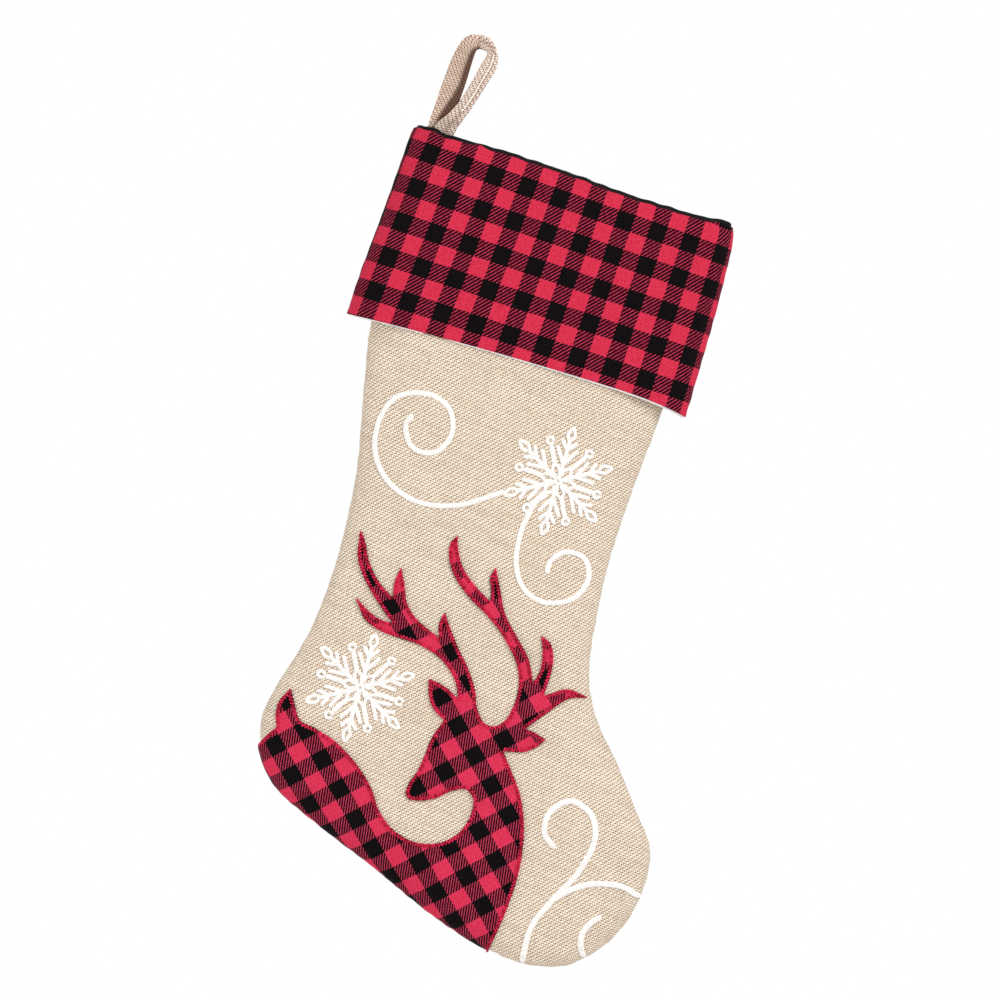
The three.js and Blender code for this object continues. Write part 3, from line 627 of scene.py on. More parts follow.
class Shader:
    """A material under construction, with short calls for the nodes it is wired from."""

    def __init__(self, name):
        self.material = bpy.data.materials.new(name)
        self.material.use_nodes = True
        self.tree = self.material.node_tree
        self.surface = next(n for n in self.tree.nodes if n.type == "BSDF_PRINCIPLED")

    def feed(self, socket, value):
        if isinstance(value, Value):
            self.tree.links.new(value.socket, socket)
        else:
            socket.default_value = value

    def node(self, kind, output, feeds, **settings):
        """One output of a new node, given what feeds its inputs by their number or name."""
        made = self.tree.nodes.new(kind)
        for key, value in settings.items():
            setattr(made, key, value)
        for key, value in feeds.items():
            self.feed(made.inputs[key], value)
        return Value(self, made.outputs[output])

    def math(self, operation, *values):
        return self.node("ShaderNodeMath", 0, dict(enumerate(values)), operation=operation)

    def cloth(self):
        """The cloth coordinates: across and along, in millimetres."""
        place = self.node("ShaderNodeAttribute", "Vector", {}, attribute_name="pattern")
        return tuple(self.node("ShaderNodeSeparateXYZ", axis, {0: place}) for axis in "XY")

    def vector(self, x, y, z=0.0):
        return self.node("ShaderNodeCombineXYZ", 0, {0: x, 1: y, 2: z})

    def noise(self, where, scale, detail=2.0, roughness=0.5):
        feeds = {"Vector": where, "Scale": scale, "Detail": detail, "Roughness": roughness}
        return self.node("ShaderNodeTexNoise", "Fac", feeds, noise_dimensions="3D")

    def random(self, where):
        return self.node("ShaderNodeTexWhiteNoise", "Value", {"Vector": where}, noise_dimensions="3D")

    def ramp(self, value, low, high, to_low=0.0, to_high=1.0):
        feeds = dict(enumerate((value, low, high, to_low, to_high)))
        return self.node("ShaderNodeMapRange", "Result", feeds, interpolation_type="SMOOTHSTEP")

    def mix(self, share, a, b, blend="MIX"):
        feeds = {0: share, 6: a, 7: b}
        return self.node("ShaderNodeMix", 2, feeds, data_type="RGBA", blend_type=blend)

    def bump(self, height, distance, strength):
        feeds = {"Height": height, "Distance": distance * MM, "Strength": strength}
        self.feed(self.surface.inputs["Normal"], self.node("ShaderNodeBump", 0, feeds))

    def finish(self, colour, roughness, specular=0.25, sheen=0.0, sheen_tint=WHITE, sheen_roughness=0.5):
        feeds = {
            "Base Color": colour, "Roughness": roughness, "Specular IOR Level": specular,
            "Sheen Weight": sheen, "Sheen Tint": sheen_tint, "Sheen Roughness": sheen_roughness,
        }
        for name, value in feeds.items():
            self.feed(self.surface.inputs[name], value)
        return self.material


def srgb(r, g, b):
    """An 8-bit sRGB colour as linear RGBA."""
    def linear(c):
        c /= 255
        return c / 12.92 if c <= 0.04045 else ((c + 0.055) / 1.055) ** 2.4

    return (linear(r), linear(g), linear(b), 1.0)


def plain_weave(s, x, y):
    """A plain weave with threads one unit apart: its height, where the warp is on top (1) and where
    the weft is (0), and the numbers of the nearest warp and weft threads."""
    near_x, near_y = s.math("ROUND", x), s.math("ROUND", y)

    def profile(value, nearest):
        off = value - nearest
        return 1.0 - 3.6 * (off * off)

    warp = profile(x, near_x) + 0.55 * s.math("COSINE", math.pi * (near_x + y))
    weft = profile(y, near_y) - 0.55 * s.math("COSINE", math.pi * (x + near_y))
    return s.math("MAXIMUM", warp, weft), s.math("GREATER_THAN", warp, weft), near_x, near_y


def burlap_material(name, light, middle, dark, shade_tint=None):
    """Coarse plain weave of irregular threads, painted shade in its gaps, painted highlights on the weft.
    """
    s = Shader(name)
    u, v = s.cloth()
    drift = 0.5 * (s.noise(s.vector(u, v), 0.05, 3.0) - 0.5)
    jitter = 0.5 * (s.noise(s.vector(v, u, 7.0), 0.3, 2.0) - 0.5)

    def threads(pitch, degrees, wander):
        turn = math.radians(degrees)
        return u * (math.cos(turn) / pitch) + v * (math.sin(turn) / pitch) + wander

    x = threads(*WARP, 2.0 * (drift + 0.35 * jitter))
    y = threads(*WEFT, 1.6 * (0.8 * jitter + 0.5 * drift))
    height, warp_on_top, near_x, near_y = plain_weave(s, x, y)
    warp_shade = s.random(s.vector(near_x, s.math("FLOOR", 0.07 * y), 1.0))
    weft_shade = s.random(s.vector(s.math("FLOOR", 0.07 * x), near_y, 2.0))
    thread = warp_on_top * warp_shade + (1.0 - warp_on_top) * weft_shade
    slub = s.noise(s.vector(0.9 * u, 0.9 * v, 3.0), 0.8, 3.0, 0.7)
    fibre = s.noise(s.vector(u, v, 5.0), 3.4, 2.0, 0.6)
    # Dark dots at alternate thread crossings: painted shade in the weave's holes.
    hole_shade = -0.2 * s.math("COSINE", math.pi * (x - y))
    # Weave depth, painted as shade in the gaps, plus the slubs' real changes in thickness.
    gap_shade_and_slub = height + hole_shade + 0.9 * (slub - 0.5)
    # Where the weft lies on top its colour is a painted highlight; where the warp does, the middle tone.
    lit = s.mix(0.85 * warp_on_top, light, middle)
    toned = s.mix(0.3 * thread, lit, s.mix(0.5, middle, dark))
    # Low in the weave the colour runs to the dark tone: painted shade in the gaps.
    colour = s.mix(s.ramp(gap_shade_and_slub + 0.4 * (fibre - 0.5), 0.3, 1.15), dark, toned)
    # For the loop's strip, painted shade is multiplied into the colour here.
    if shade_tint:
        colour = s.mix(1.0, colour, shade_tint(s, u, v), blend="MULTIPLY")
    s.bump(height + 0.5 * fibre, 0.5, 0.9)
    return s.finish(colour, 0.93, specular=0.08, sheen=0.06, sheen_tint=(1, 0.93, 0.82, 1))


def strip_painted_shade(s, u, v):
    """Painted shade on the strip: back leg before the turn browner, darkest by the gap; seam groove darker.
    """
    # Painted shade by the gap on the back leg, over more of its width lower down.
    edge = s.ramp(v, *STRIP["flank_run"], *STRIP["flank_edge"])
    flank_shade = s.ramp(u - edge, -STRIP["flank_blur"], STRIP["flank_blur"], 1.0, 0.0)
    back_leg_shade = s.mix(flank_shade, STRIP["back_leg_shade"], STRIP["flank_shade"])
    # Painted shade in the groove beside the seam on the front leg.
    beside = s.ramp(s.math("ABSOLUTE", u - STRIP["seam"]), *STRIP["groove_run"])
    front_leg_tone = s.mix(beside, STRIP["groove"], STRIP["front_leg_tone"])
    # Before the turn the back leg's painted shade, after it the front leg's own tone.
    return s.mix(s.ramp(v, *STRIP["turn_run"]), back_leg_shade, front_leg_tone)


def check_material(name, twill, red, mixed, black):
    """Red and black check in a brushed twill weave, with a black square around the cloth's origin."""
    s = Shader(name)
    u, v = s.cloth()
    wander = 0.8 * (s.noise(s.vector(u, v), 0.05, 2.0) - 0.5)
    x, y = u + wander, v + wander
    spacing, lean = twill[0], math.radians(twill[1])

    def is_black(value):
        ragged = 0.7 * (s.noise(s.vector(x, y, 4.0), 1.5, 1.0) - 0.5)
        turns = s.math("DIVIDE", value + ragged, CHECK_REPEAT)
        return s.math("LESS_THAN", s.math("FRACT", turns + 0.25), 0.5)

    warp, weft = is_black(x), is_black(y)
    across = x * (math.sin(lean) / spacing) - y * (math.cos(lean) / spacing)
    ragged = 0.32 * (s.noise(s.vector(x, y, 9.0), 1.1, 2.0) - 0.5)
    ridge = s.math("PINGPONG", across + ragged, 0.5)
    dark_yarn = warp * s.ramp(ridge, 0.13, 0.24) + weft * (1.0 - s.ramp(ridge, 0.26, 0.37))
    darkness = s.math("MINIMUM", 1.0, dark_yarn)
    thread = s.noise(s.vector(x, y, 2.0), 1.6, 2.0, 0.8)
    fuzz = s.noise(s.vector(x, y, 6.0), 5.5, 1.0)
    one_yarn = s.math("ABSOLUTE", warp - weft)
    shade = s.ramp(thread, 0.3, 0.7)
    bright = s.mix(one_yarn, s.mix(shade, *red), s.mix(shade, *mixed))
    night = s.mix(s.ramp(thread + 0.6 * fuzz, 0.75, 1.1), black[0], black[1])
    colour = s.mix(darkness, bright, s.mix(one_yarn, night, black[2]))
    s.bump(ridge + 0.6 * fuzz, 0.3, 0.6)
    return s.finish(colour, 0.92, specular=0.04, sheen=0.02)


def thread_material(name, light, dark, grain, sheen, specular=0.4):
    """Twisted embroidery thread: soft sheen, slight shade changes from stitch to stitch."""
    s = Shader(name)
    u, v = s.cloth()
    patch = s.noise(s.vector(u, v, 1.0), grain, 2.0, 0.6)
    strand = s.noise(s.vector(u, v, 8.0), grain * 4, 1.0)
    colour = s.mix(s.ramp(patch, 0.3, 0.75), dark, light)
    s.bump(strand, 0.12, 0.5)
    return s.finish(colour, 0.48, specular=specular, sheen=sheen, sheen_roughness=0.4)


def lining_material(name, light, dark):
    """Smooth white lining cloth with a fine weave, two threads to a millimetre."""
    s = Shader(name)
    u, v = s.cloth()
    height, *_ = plain_weave(s, 2.0 * u, 2.0 * v)
    cloud = s.noise(s.vector(u, v, 2.0), 0.05, 3.0)
    colour = s.mix(s.ramp(height + 0.8 * cloud, 0.2, 1.4), dark, light)
    s.bump(height, 0.1, 0.4)
    return s.finish(colour, 0.75, specular=0.2, sheen=0.1)


# Thread spacing and the direction across the threads, on the cloth, in millimetres and degrees.
WARP, WEFT = (1.30, 3.2), (1.42, 84.5)
# Light is a painted highlight on the weft, dark is painted shade in the gaps, deepened at random by slubs.
BURLAP = burlap_material("burlap", srgb(255, 246, 228), srgb(226, 197, 169), srgb(84, 52, 36))
# Tints of the loop's strip, mostly painted shade, and where they change along and across it, in
# millimetres.
STRIP = {
    # The front leg keeps a near-white tone; the back leg's browner tone is painted shade.
    "turn_run": (83.5, 88.5), "front_leg_tone": srgb(246, 240, 242), "back_leg_shade": srgb(238, 224, 220),
    # Darker painted shade on the back leg's side by the gap, wider lower down.
    "flank_shade": srgb(122, 96, 90), "flank_run": (28.0, 56.0), "flank_edge": (3.4, -2.6), "flank_blur": 1.6,
    # The darker band beside the seam is painted shade in its groove.
    "groove": srgb(218, 204, 200), "seam": 1.5, "groove_run": (0.7, 1.7),
}
# The strip's own tones, its dark one a deeper painted shade in the gaps.
STRIP_TONES = (srgb(255, 246, 232), srgb(226, 198, 174), srgb(64, 38, 26))
STRIP_BURLAP = burlap_material("burlap_strip", *STRIP_TONES, strip_painted_shade)
CUFF_REDS = (srgb(174, 22, 44), srgb(212, 58, 86))
DEER_REDS = (srgb(182, 28, 54), srgb(216, 60, 94))
CUFF_MIXED_REDS = (srgb(100, 4, 28), srgb(196, 66, 92))
DEER_MIXED_REDS = (srgb(132, 20, 44), srgb(202, 76, 102))
BLACKS = (srgb(8, 6, 7), srgb(30, 22, 26), srgb(38, 0, 10))
CUFF_CHECK = check_material("check_twill", CUFF_TWILL, CUFF_REDS, CUFF_MIXED_REDS, BLACKS)
DEER_CHECK = check_material("check_twill_fine", DEER_TWILL, DEER_REDS, DEER_MIXED_REDS, BLACKS)
WHITE_THREAD = thread_material("white_thread", srgb(255, 254, 251), srgb(228, 219, 213), 0.8, 0.2)
RED_THREAD = thread_material("red_thread", srgb(246, 48, 92), srgb(136, 2, 30), 0.9, 0.0, 0.12)
SEAM_THREAD = thread_material("seam_thread", srgb(250, 238, 222), srgb(214, 196, 172), 1.2, 0.1)
LOOP_THREAD = thread_material("loop_thread", srgb(255, 250, 240), srgb(240, 228, 212), 1.2, 0.1)
BLACK_THREAD = thread_material("black_thread", srgb(22, 16, 19), srgb(6, 4, 6), 1.0, 0.0, 0.12)
LINING = lining_material("white_lining", srgb(250, 249, 247), srgb(226, 224, 222))


# ======== Pieces ========


def standing_for(piece, slot, *nodes):
    """A piece that takes the place of CAD nodes, which it hides. The slot argument is not used."""
    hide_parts(*nodes)
    return piece


def cloth_sheet(name, points, side, cloth, material, thickness):
    """A sheet of cloth from its grid of points, thickened inwards."""
    faces = grid_faces(*points.shape[:2], flip=side == BACK)
    return thicken(make_piece(name, points, faces, cloth, material), thickness)


def body_panel(name, side):
    """One side of the burlap leg and foot, down to its seam."""
    points, flat = sheet_grid(body, side, 0.0, *BODY_GRID, tuck=BURLAP_TUCK)
    return cloth_sheet(name, points, side, body.cloth_at(flat, side), BURLAP, BURLAP_THICKNESS)


def lining_panel(name, side):
    """One side of the loose lining bag inside."""
    points, flat = sheet_grid(body, side, LINING_LIFT, *LINING_GRID)
    return cloth_sheet(name, points, side, flat, LINING, LINING_THICKNESS)


burlap_front = standing_for(body_panel("burlap_front", FRONT), "burlap", "front_panel")
burlap_back = standing_for(body_panel("burlap_back", BACK), "burlap", "back_panel")
bag_front = standing_for(lining_panel("lining_bag_front", FRONT), "lining", "lining_front")
bag_back = standing_for(lining_panel("lining_bag_back", BACK), "lining", "lining_back")


# ---- Cuff ----


def rim_level(u, side):
    """Height of the cuff's rolled top above its pattern's top line, with its small unevenness."""
    bump = RIM_BUMP["height"] * np.exp(-((u - RIM_BUMP["at"]) / RIM_BUMP["width"]) ** 2)
    return RIM_TOP + (bump if side == FRONT else 0) + RIM_WANDER * rim_waves(u, 0 * u)


def rim_points(u):
    return np.stack([u, 0 * u], -1)


def cuff_roll(u, level, side):
    """Rows that carry the cuff over its soft roll at the mouth, and their places on the cloth."""
    over = np.linspace(math.pi / 2, 0, ROLL_ROWS, endpoint=False)[:, None]
    u = np.broadcast_to(u, (ROLL_ROWS, len(u)))
    up = level + ROLL_RADIUS * np.sin(over)
    rolled = cuff.place(rim_points(u), side, -ROLL_RADIUS * (1 - np.cos(over)))
    rolled[..., 0] += corner_pull(u, up) - corner_pull(u, 0 * u)
    rolled[..., 2] += up
    return rolled, np.stack([u, level + ROLL_RADIUS * over], -1)


def cuff_hem(bottom, side):
    """Rows that fold the cloth under at the cuff's lower edge, and their places on the cloth."""
    under = np.linspace(0, math.pi, HEM_ROWS + 1)[1:, None]
    flat = np.repeat(bottom[None], HEM_ROWS, axis=0)
    hemmed = cuff.place(flat, side, -HEM_FOLD * (1 - np.cos(under)))
    hemmed[..., 2] += hem_shift(flat) - HEM_FOLD * np.sin(under)
    flat[..., 1] -= under
    return hemmed, flat


def cuff_sheet(name, side):
    """One side of the cuff: up from the hem, over a soft roll at the mouth, and in to the binding."""
    points, flat = sheet_grid(cuff, side, 0.0, *CUFF_GRID)
    points[..., 2] += hem_shift(flat)
    level = rim_level(flat[0, :, 0], side)[None] - ROLL_RADIUS
    eased = level * np.linspace(1, 0, EASED_ROWS)[:, None]
    points[:EASED_ROWS, :, 2] += eased
    flat[:EASED_ROWS, :, 1] += eased
    rolled, rolled_flat = cuff_roll(flat[0, :, 0], level, side)
    hemmed, hemmed_flat = cuff_hem(flat[-1], side)
    points = np.concatenate([rolled, points, hemmed])
    flat = np.concatenate([rolled_flat, flat, hemmed_flat])
    on_cloth = cuff.cloth_at(flat, side)
    on_cloth[..., 1] += mouth_shift(flat[..., 0], flat[..., 1]) + hem_shift(flat)
    return cloth_sheet(name, points, side, cuff_cloth(on_cloth), CUFF_CHECK, CUFF_THICKNESS)


def cuff_facing(name, side):
    """One side of the cuff's white facing, which shows as a thin line below the hem."""
    plan = FACING
    points, flat = sheet_grid(cuff, side, FACING_LIFT, *FACING_GRID)
    points[..., 2] += hem_shift(flat)
    drop = plan["drop"] + plan["slack"] * smoothstep(flat[-plan["drop_rows"] :, :, 0], *plan["slack_run"])
    points[-plan["drop_rows"] :, :, 2] -= drop * np.linspace(0, 1, plan["drop_rows"])[:, None]
    points[: plan["rim_rows"], :, 2] -= plan["below_rim"] * np.linspace(1, 0, plan["rim_rows"])[:, None]
    return cloth_sheet(name, points, side, flat, LINING, FACING_THICKNESS)


cuff_pieces = {}
for side, word in ((FRONT, "front"), (BACK, "back")):
    cuff_pieces[word] = (
        standing_for(cuff_sheet(f"cuff_check_{word}", side), "check_cloth", f"cuff_{word}"),
        standing_for(cuff_facing(f"cuff_facing_{word}", side), "lining", f"cuff_lining_{word}"),
    )


def mouth_overlock():
    """Black overlocked edge of the mouth: a flat cord of close thread loops over all the layers."""
    cord = OVERLOCK
    count = cord["loops"] * cord["per_loop"]
    share = np.arange(count) / count
    start, stop = CUFF_HEEL_SIDE[0][0], CUFF_TOE_SIDE[0][0]
    steps = row_steps(stop - start, cord["samples"], FRONT)
    at = np.interp(np.linspace(0, 1, cord["samples"]), np.linspace(0, 1, len(steps)), steps)
    rim = rim_points(start + (stop - start) * at)

    def ring_line(lift):
        front = cuff.place(rim, FRONT, lift)
        back = cuff.place(rim, BACK, lift)[::-1]
        return evenly(np.vstack([front, back, front[:1]]), count + 1)[:-1]

    outer, inner = ring_line(cord["outer_lift"]), ring_line(cord["inner_lift"])
    middle, half_width = (outer + inner) / 2, (outer - inner) / 2
    angle = full_turn(cord["sides"])[None]
    size = cord["size"] + cord["beat"] * np.abs(np.sin(math.pi * cord["loops"] * share))[:, None]
    rings = middle[:, None] + half_width[:, None] * (np.cos(angle) * size)[..., None]
    wander = RIM_WANDER * rim_waves(middle[:, 0], 0)[:, None]
    rings[..., 2] += RIM_TOP + cord["rise"] + cord["height"] * np.sin(angle) * size + wander
    cloth = np.stack(np.broadcast_arrays(cord["shade_run"] * share[:, None], 2 * angle), -1)
    faces = grid_faces(count + 1, cord["sides"], closed=True) % (count * cord["sides"])
    return make_piece("mouth_overlock", rings, faces, cloth, BLACK_THREAD)


overlock = standing_for(mouth_overlock(), "black_binding", "mouth_binding")


# ---- Thread work ----


def tubes(name, paths, normals, radius, sides, shades, material):
    """Many short tubes of equal station count as one mesh, each closed at both ends."""
    paths = np.asarray(paths, float)
    count, stations = paths.shape[:2]
    along = np.gradient(paths, axis=1)
    along /= np.maximum(np.linalg.norm(along, axis=-1, keepdims=True), 1e-9)
    side = np.cross(along, normals)
    side /= np.maximum(np.linalg.norm(side, axis=-1, keepdims=True), 1e-9)
    out = np.cross(side, along)
    angle = full_turn(sides)
    taper = np.ones(stations)
    taper[[0, -1]] = TUBE_END
    size = (radius * taper)[None, :, None, None]
    rings = paths[:, :, None] + size * (
        np.cos(angle)[None, None, :, None] * side[:, :, None]
        + np.sin(angle)[None, None, :, None] * out[:, :, None]
    )
    one = grid_faces(stations, sides, closed=True)
    step = stations * sides
    quads = (one[None] + step * np.arange(count)[:, None, None]).reshape(-1, 4)
    first = np.arange(sides)
    caps = [list(first[::-1] + k * step) for k in range(count)]
    caps += [list(first + (stations - 1) * sides + k * step) for k in range(count)]
    cloth = np.repeat(np.asarray(shades, float), step, axis=0)
    return make_piece(name, rings, [*quads.tolist(), *caps], cloth, material)


def capped_tube(stations, sides, flip=False):
    """Faces of a tube of rings, closed at both ends."""
    faces = grid_faces(stations, sides, closed=True).tolist()
    faces.append(list(range(sides))[::-1])
    faces.append(list(range((stations - 1) * sides, stations * sides)))
    return [face[::-1] for face in faces] if flip else faces


def satin_ridge(line, width, height, sides=9):
    """A raised satin-stitched stripe on the body along a pattern line, as points, faces and cloth data."""
    run = length_of(line)
    stations = max(int(run / (SATIN_STITCH / 3)), 12)
    centre = evenly(line, stations)
    along = directions(centre)
    across = leftwards(along)
    at = np.linspace(0, run, stations)
    end = np.clip(np.minimum(at, run - at) / (width / 2), 0, 1)
    rounding = np.sqrt(np.clip(1 - (1 - end) ** 2, 0.004, 1))
    beat = np.abs(np.sin(math.pi * at / SATIN_STITCH))
    angle = np.linspace(0, math.pi, sides)
    reach = width / 2 * rounding * (0.95 + 0.07 * beat)
    offset = np.cos(angle)[None] * reach[:, None]
    shift = SATIN_LEAN * np.cos(angle)[None] * width / 2 * rounding[:, None]
    flat = centre[:, None] + across[:, None] * offset[..., None] + along[:, None] * shift[..., None]
    edges = flat[:, [-1, 0]]
    lift = 0.05 + height * (np.sin(angle)[None] ** 0.8) * (rounding * (0.8 + 0.25 * beat))[:, None]
    rings = np.concatenate([body.place(flat, FRONT, lift), body.place(edges, FRONT, 0.0)], axis=1)
    cloth = np.concatenate([flat, edges], axis=1)
    return rings.reshape(-1, 3), capped_tube(stations, sides + 2, flip=True), cloth.reshape(-1, 2)


def join_parts(name, parts, material):
    """One piece from several sets of points, faces and cloth data."""
    points, faces, cloth, start = [], [], [], 0
    for part_points, part_faces, part_cloth in parts:
        points.append(part_points)
        cloth.append(part_cloth)
        faces += [[start + i for i in face] for face in part_faces]
        start += len(part_points)
    return make_piece(name, np.vstack(points), faces, np.vstack(cloth), material)


embroidery = []
for lines, width in ((SWIRLS, SWIRL_WIDTH), (TOE_SWIRLS, TOE_SWIRL_WIDTH)):
    for node, points in lines.items():
        ridge = satin_ridge(spline(points, 900), width, SATIN_HEIGHT)
        piece = make_piece(f"stitched_{node}", *ridge, WHITE_THREAD)
        embroidery.append(standing_for(piece, "white_thread", node))


def snowflake(name, centre):
    """Six barbed long arms with open drops, six short arms that split at the hub and end in rings."""
    flake = SNOWFLAKE
    centre = np.array(centre, float)
    stroke = flake["stroke"]
    parts = []

    def at(radius, degrees, sideways=0.0):
        out = heading(degrees)
        return centre + radius * out + sideways * np.array([-out[1], out[0]])

    def ridge(line, width):
        parts.append(satin_ridge(np.array(line), width, flake["height"], sides=7))

    def long_arm(turn):
        ridge([at(0.5, turn), at(flake["long_reach"], turn)], stroke + 0.2)
        half_long, half_wide = flake["drop_half"]
        near, far = flake["drop_centre"] - half_long, flake["drop_centre"] + half_long
        widest = flake["drop_centre"] - 0.6
        drop = [at(near, turn), at(widest, turn, half_wide * 0.8),
                at(far, turn), at(widest, turn, -half_wide * 0.8)]
        ridge(spline(drop, 60, closed=True), stroke * 0.9)
        for start, reach, lean in flake["barbs"]:
            root = at(start, turn)
            for way in (-1, 1):
                ridge([root, root + reach * heading(turn + way * lean)], stroke)

    def short_arm(turn):
        low, high, wide = flake["leaf"]
        for way in (-1, 1):
            leaf = [at(low, turn, way * 0.9), at((low + high) / 2, turn, way * wide),
                    at(high, turn, way * 0.4)]
            ridge(spline(leaf, 30), stroke * 0.85)
        ridge([at(high - 1.5, turn), at(flake["short_reach"], turn)], stroke + 0.5)
        middle = at(flake["ring_centre"], turn)
        circle = [middle + flake["ring_radius"] * heading(degrees) for degrees in range(0, 360, 30)]
        ridge(spline(circle, 48, closed=True), stroke * 0.85)

    for arm in range(flake["arms"]):
        long_arm(flake["long_turn"] + arm * 360 / flake["arms"])
        short_arm(flake["short_turn"] + arm * 360 / flake["arms"])
    return join_parts(name, parts, WHITE_THREAD)


for node, centre in SNOWFLAKES.items():
    embroidery.append(standing_for(snowflake(f"stitched_{node}", centre), "white_thread", node))


# ---- Deer ----


def deer_outline():
    """The deer's edge from rump to chest as evenly spaced points that keep its corners."""
    lines, corner = [], DEER_START
    for run in DEER_RUNS:
        line = spline([corner, *run], 400)
        lines.append(evenly(line, max(int(length_of(line) / OUTLINE_STEP), 4))[:-1])
        corner = run[-1]
    return np.vstack([*lines, [corner]])


def sole_edge():
    """The stocking's own edge from the chest back to the rump."""
    line = spline(BODY_HEEL_SIDE, 2400)
    start = np.argmin(np.linalg.norm(line - deer_edge[-1], axis=1))
    end = np.argmin(np.linalg.norm(line - deer_edge[0], axis=1))
    stretch = line[end : start + 1][::-1]
    return evenly(stretch, int(length_of(stretch) / OUTLINE_STEP))


deer_edge = deer_outline()
deer_polygon = np.vstack([deer_edge, sole_edge()[1:-1]])


def deer_applique():
    """The check-cloth deer, cut to its outline and laid on the burlap."""
    _, flat = sheet_grid(body, FRONT, 0.0, *BODY_GRID)
    inner = flat.reshape(-1, 2)
    inner = inner[inside_polygon(inner, deer_polygon)]
    gap = np.full(len(inner), np.inf)
    for corner in deer_polygon:
        gap = np.minimum(gap, (inner[:, 0] - corner[0]) ** 2 + (inner[:, 1] - corner[1]) ** 2)
    inner = inner[gap > DEER_APPLIQUE["edge_gap"] ** 2]
    points = [Vector(p) for p in np.vstack([deer_polygon, inner]).tolist()]
    cut = delaunay_2d_cdt(points, [], [list(range(len(deer_polygon)))], 1, 1e-5)
    flat = np.array([list(p) for p in cut[0]])
    faces = [list(f) for f in cut[2]]
    placed = body.place(flat, FRONT, DEER_APPLIQUE["lift"])
    cloth = deer_cloth_at(body.cloth_at(flat, FRONT))
    piece = make_piece("deer_check_cloth", placed, faces, cloth, DEER_CHECK)
    return thicken(piece, DEER_APPLIQUE["thickness"])


def stitch_reach(run, inward):
    """How far each stitch reaches in from the deer's edge, shorter where the deer is narrow."""
    full = DEER_STITCH["reach"]
    reach = np.full(len(run), full)
    for share in (0.85, 0.7, 0.55, 0.42, 0.3):
        tip = run + inward * reach[:, None]
        nearest = np.full(len(run), np.inf)
        for start in range(0, len(deer_edge), 400):
            stretch = deer_edge[start : start + 400]
            nearest = np.minimum(nearest, np.linalg.norm(tip[:, None] - stretch[None], axis=-1).min(1))
        crowded = (nearest < 0.8 * reach) | ~inside_polygon(tip, deer_polygon)
        reach = np.where(crowded, full * share, reach)
    return reach


def deer_stitching():
    """Zigzag stitching over the deer's cut edge: single stitches, out and back along the outline."""
    zigzag = DEER_STITCH
    run = evenly(deer_edge, int(length_of(deer_edge) / (zigzag["pitch"] / 2)))
    inward = -leftwards(directions(run))
    if inside_polygon(run + 0.3 * inward, deer_polygon).mean() < 0.5:
        inward = -inward
    inner = run + inward * stitch_reach(run, inward)[:, None]
    outer = run - inward * zigzag["overhang"]
    starts, ends = outer[:-1].copy(), inner[1:].copy()
    starts[1::2], ends[1::2] = inner[:-1][1::2], outer[1:][1::2]
    shares = np.linspace(0, 1, 6)
    flat = starts[:, None] + (ends - starts)[:, None] * shares[None, :, None]
    lift = zigzag["lift"] + zigzag["arch"] * np.sin(math.pi * shares)
    lift[[0, -1]] -= zigzag["sunk"]
    lift = np.broadcast_to(lift, flat.shape[:2])
    paths = body.place(flat, FRONT, lift)
    normals = body.place(flat, FRONT, lift + 1) - paths
    random = np.random.RandomState(5)
    shade = flat[:, 0] + random.uniform(-1.5, 1.5, (len(flat), 2))
    return tubes("deer_zigzag", paths, normals, zigzag["radius"], 6, shade, RED_THREAD)


deer_cloth = standing_for(deer_applique(), "check_cloth", "deer_applique")
deer_thread = standing_for(deer_stitching(), "red_thread", "deer_edge_stitching")


# ---- Seams ----


def seam_stitches(name, envelope, lines, spacing, material):
    """The seam's stitches: short rungs that cross the groove between the front and the back."""
    rung = SEAM_STITCH
    steps = np.linspace(-1, 1, 5)
    sunk = rung["sunk"] - rung["bow"] * np.cos(steps * math.pi / 2)
    slant, crossing = rung["slant"] * steps, rung["half_width"] * steps
    paths, shades = [], []
    for line in lines:
        run = evenly(line, int(length_of(line) / spacing))[1:-1]
        along = directions(run)
        inward = leftwards(along)
        deeper = envelope.edge_distance(run + inward) > envelope.edge_distance(run - inward)
        inward = np.where(deeper[:, None], inward, -inward)
        centre = envelope.place(run, FRONT, 0.0)
        flat = inward[:, None] * sunk[None, :, None] + along[:, None] * slant[None, :, None]
        off = np.stack([flat[..., 0], crossing + 0 * flat[..., 0], flat[..., 1]], -1)
        paths.append(centre[:, None] + off)
        shades.append(run)
    paths, shades = np.vstack(paths), np.vstack(shades)
    normals = np.broadcast_to([1.0, 0.0, 0.0], paths.shape)
    return tubes(name, paths, normals, rung["radius"], 6, shades, material)


body_lines = [spline(BODY_HEEL_SIDE, 1500), spline(BODY_TOE_SIDE, 1200)]
body_thread = seam_stitches("body_seam_stitches", body, body_lines, 2.6, SEAM_THREAD)
standing_for(body_thread, "seam_thread", "body_seam_thread")
cuff_threads = []
for points, word in ((CUFF_HEEL_SIDE, "heel_side"), (CUFF_TOE_SIDE, "toe_side")):
    made = seam_stitches(f"cuff_seam_stitches_{word}", cuff, [spline(points, 400)], 2.4, RED_THREAD)
    cuff_threads.append(standing_for(made, "red_thread", f"cuff_seam_thread_{word}"))


# ---- Hanging loop ----


def spline_at(knots, where):
    """Catmull-Rom through the knots, read at fractional knot numbers."""
    knots = np.array(knots, float)
    padded = np.vstack([2 * knots[0] - knots[1], knots, 2 * knots[-1] - knots[-2]])
    index = np.clip(where.astype(int), 0, len(knots) - 2)
    t = (where - index)[:, None]
    a, b, c, d = (padded[index + k] for k in range(4))
    return 0.5 * (2 * b + (c - a) * t + (2 * a - 5 * b + 4 * c - d) * t**2 + (3 * b - a - 3 * c + d) * t**3)


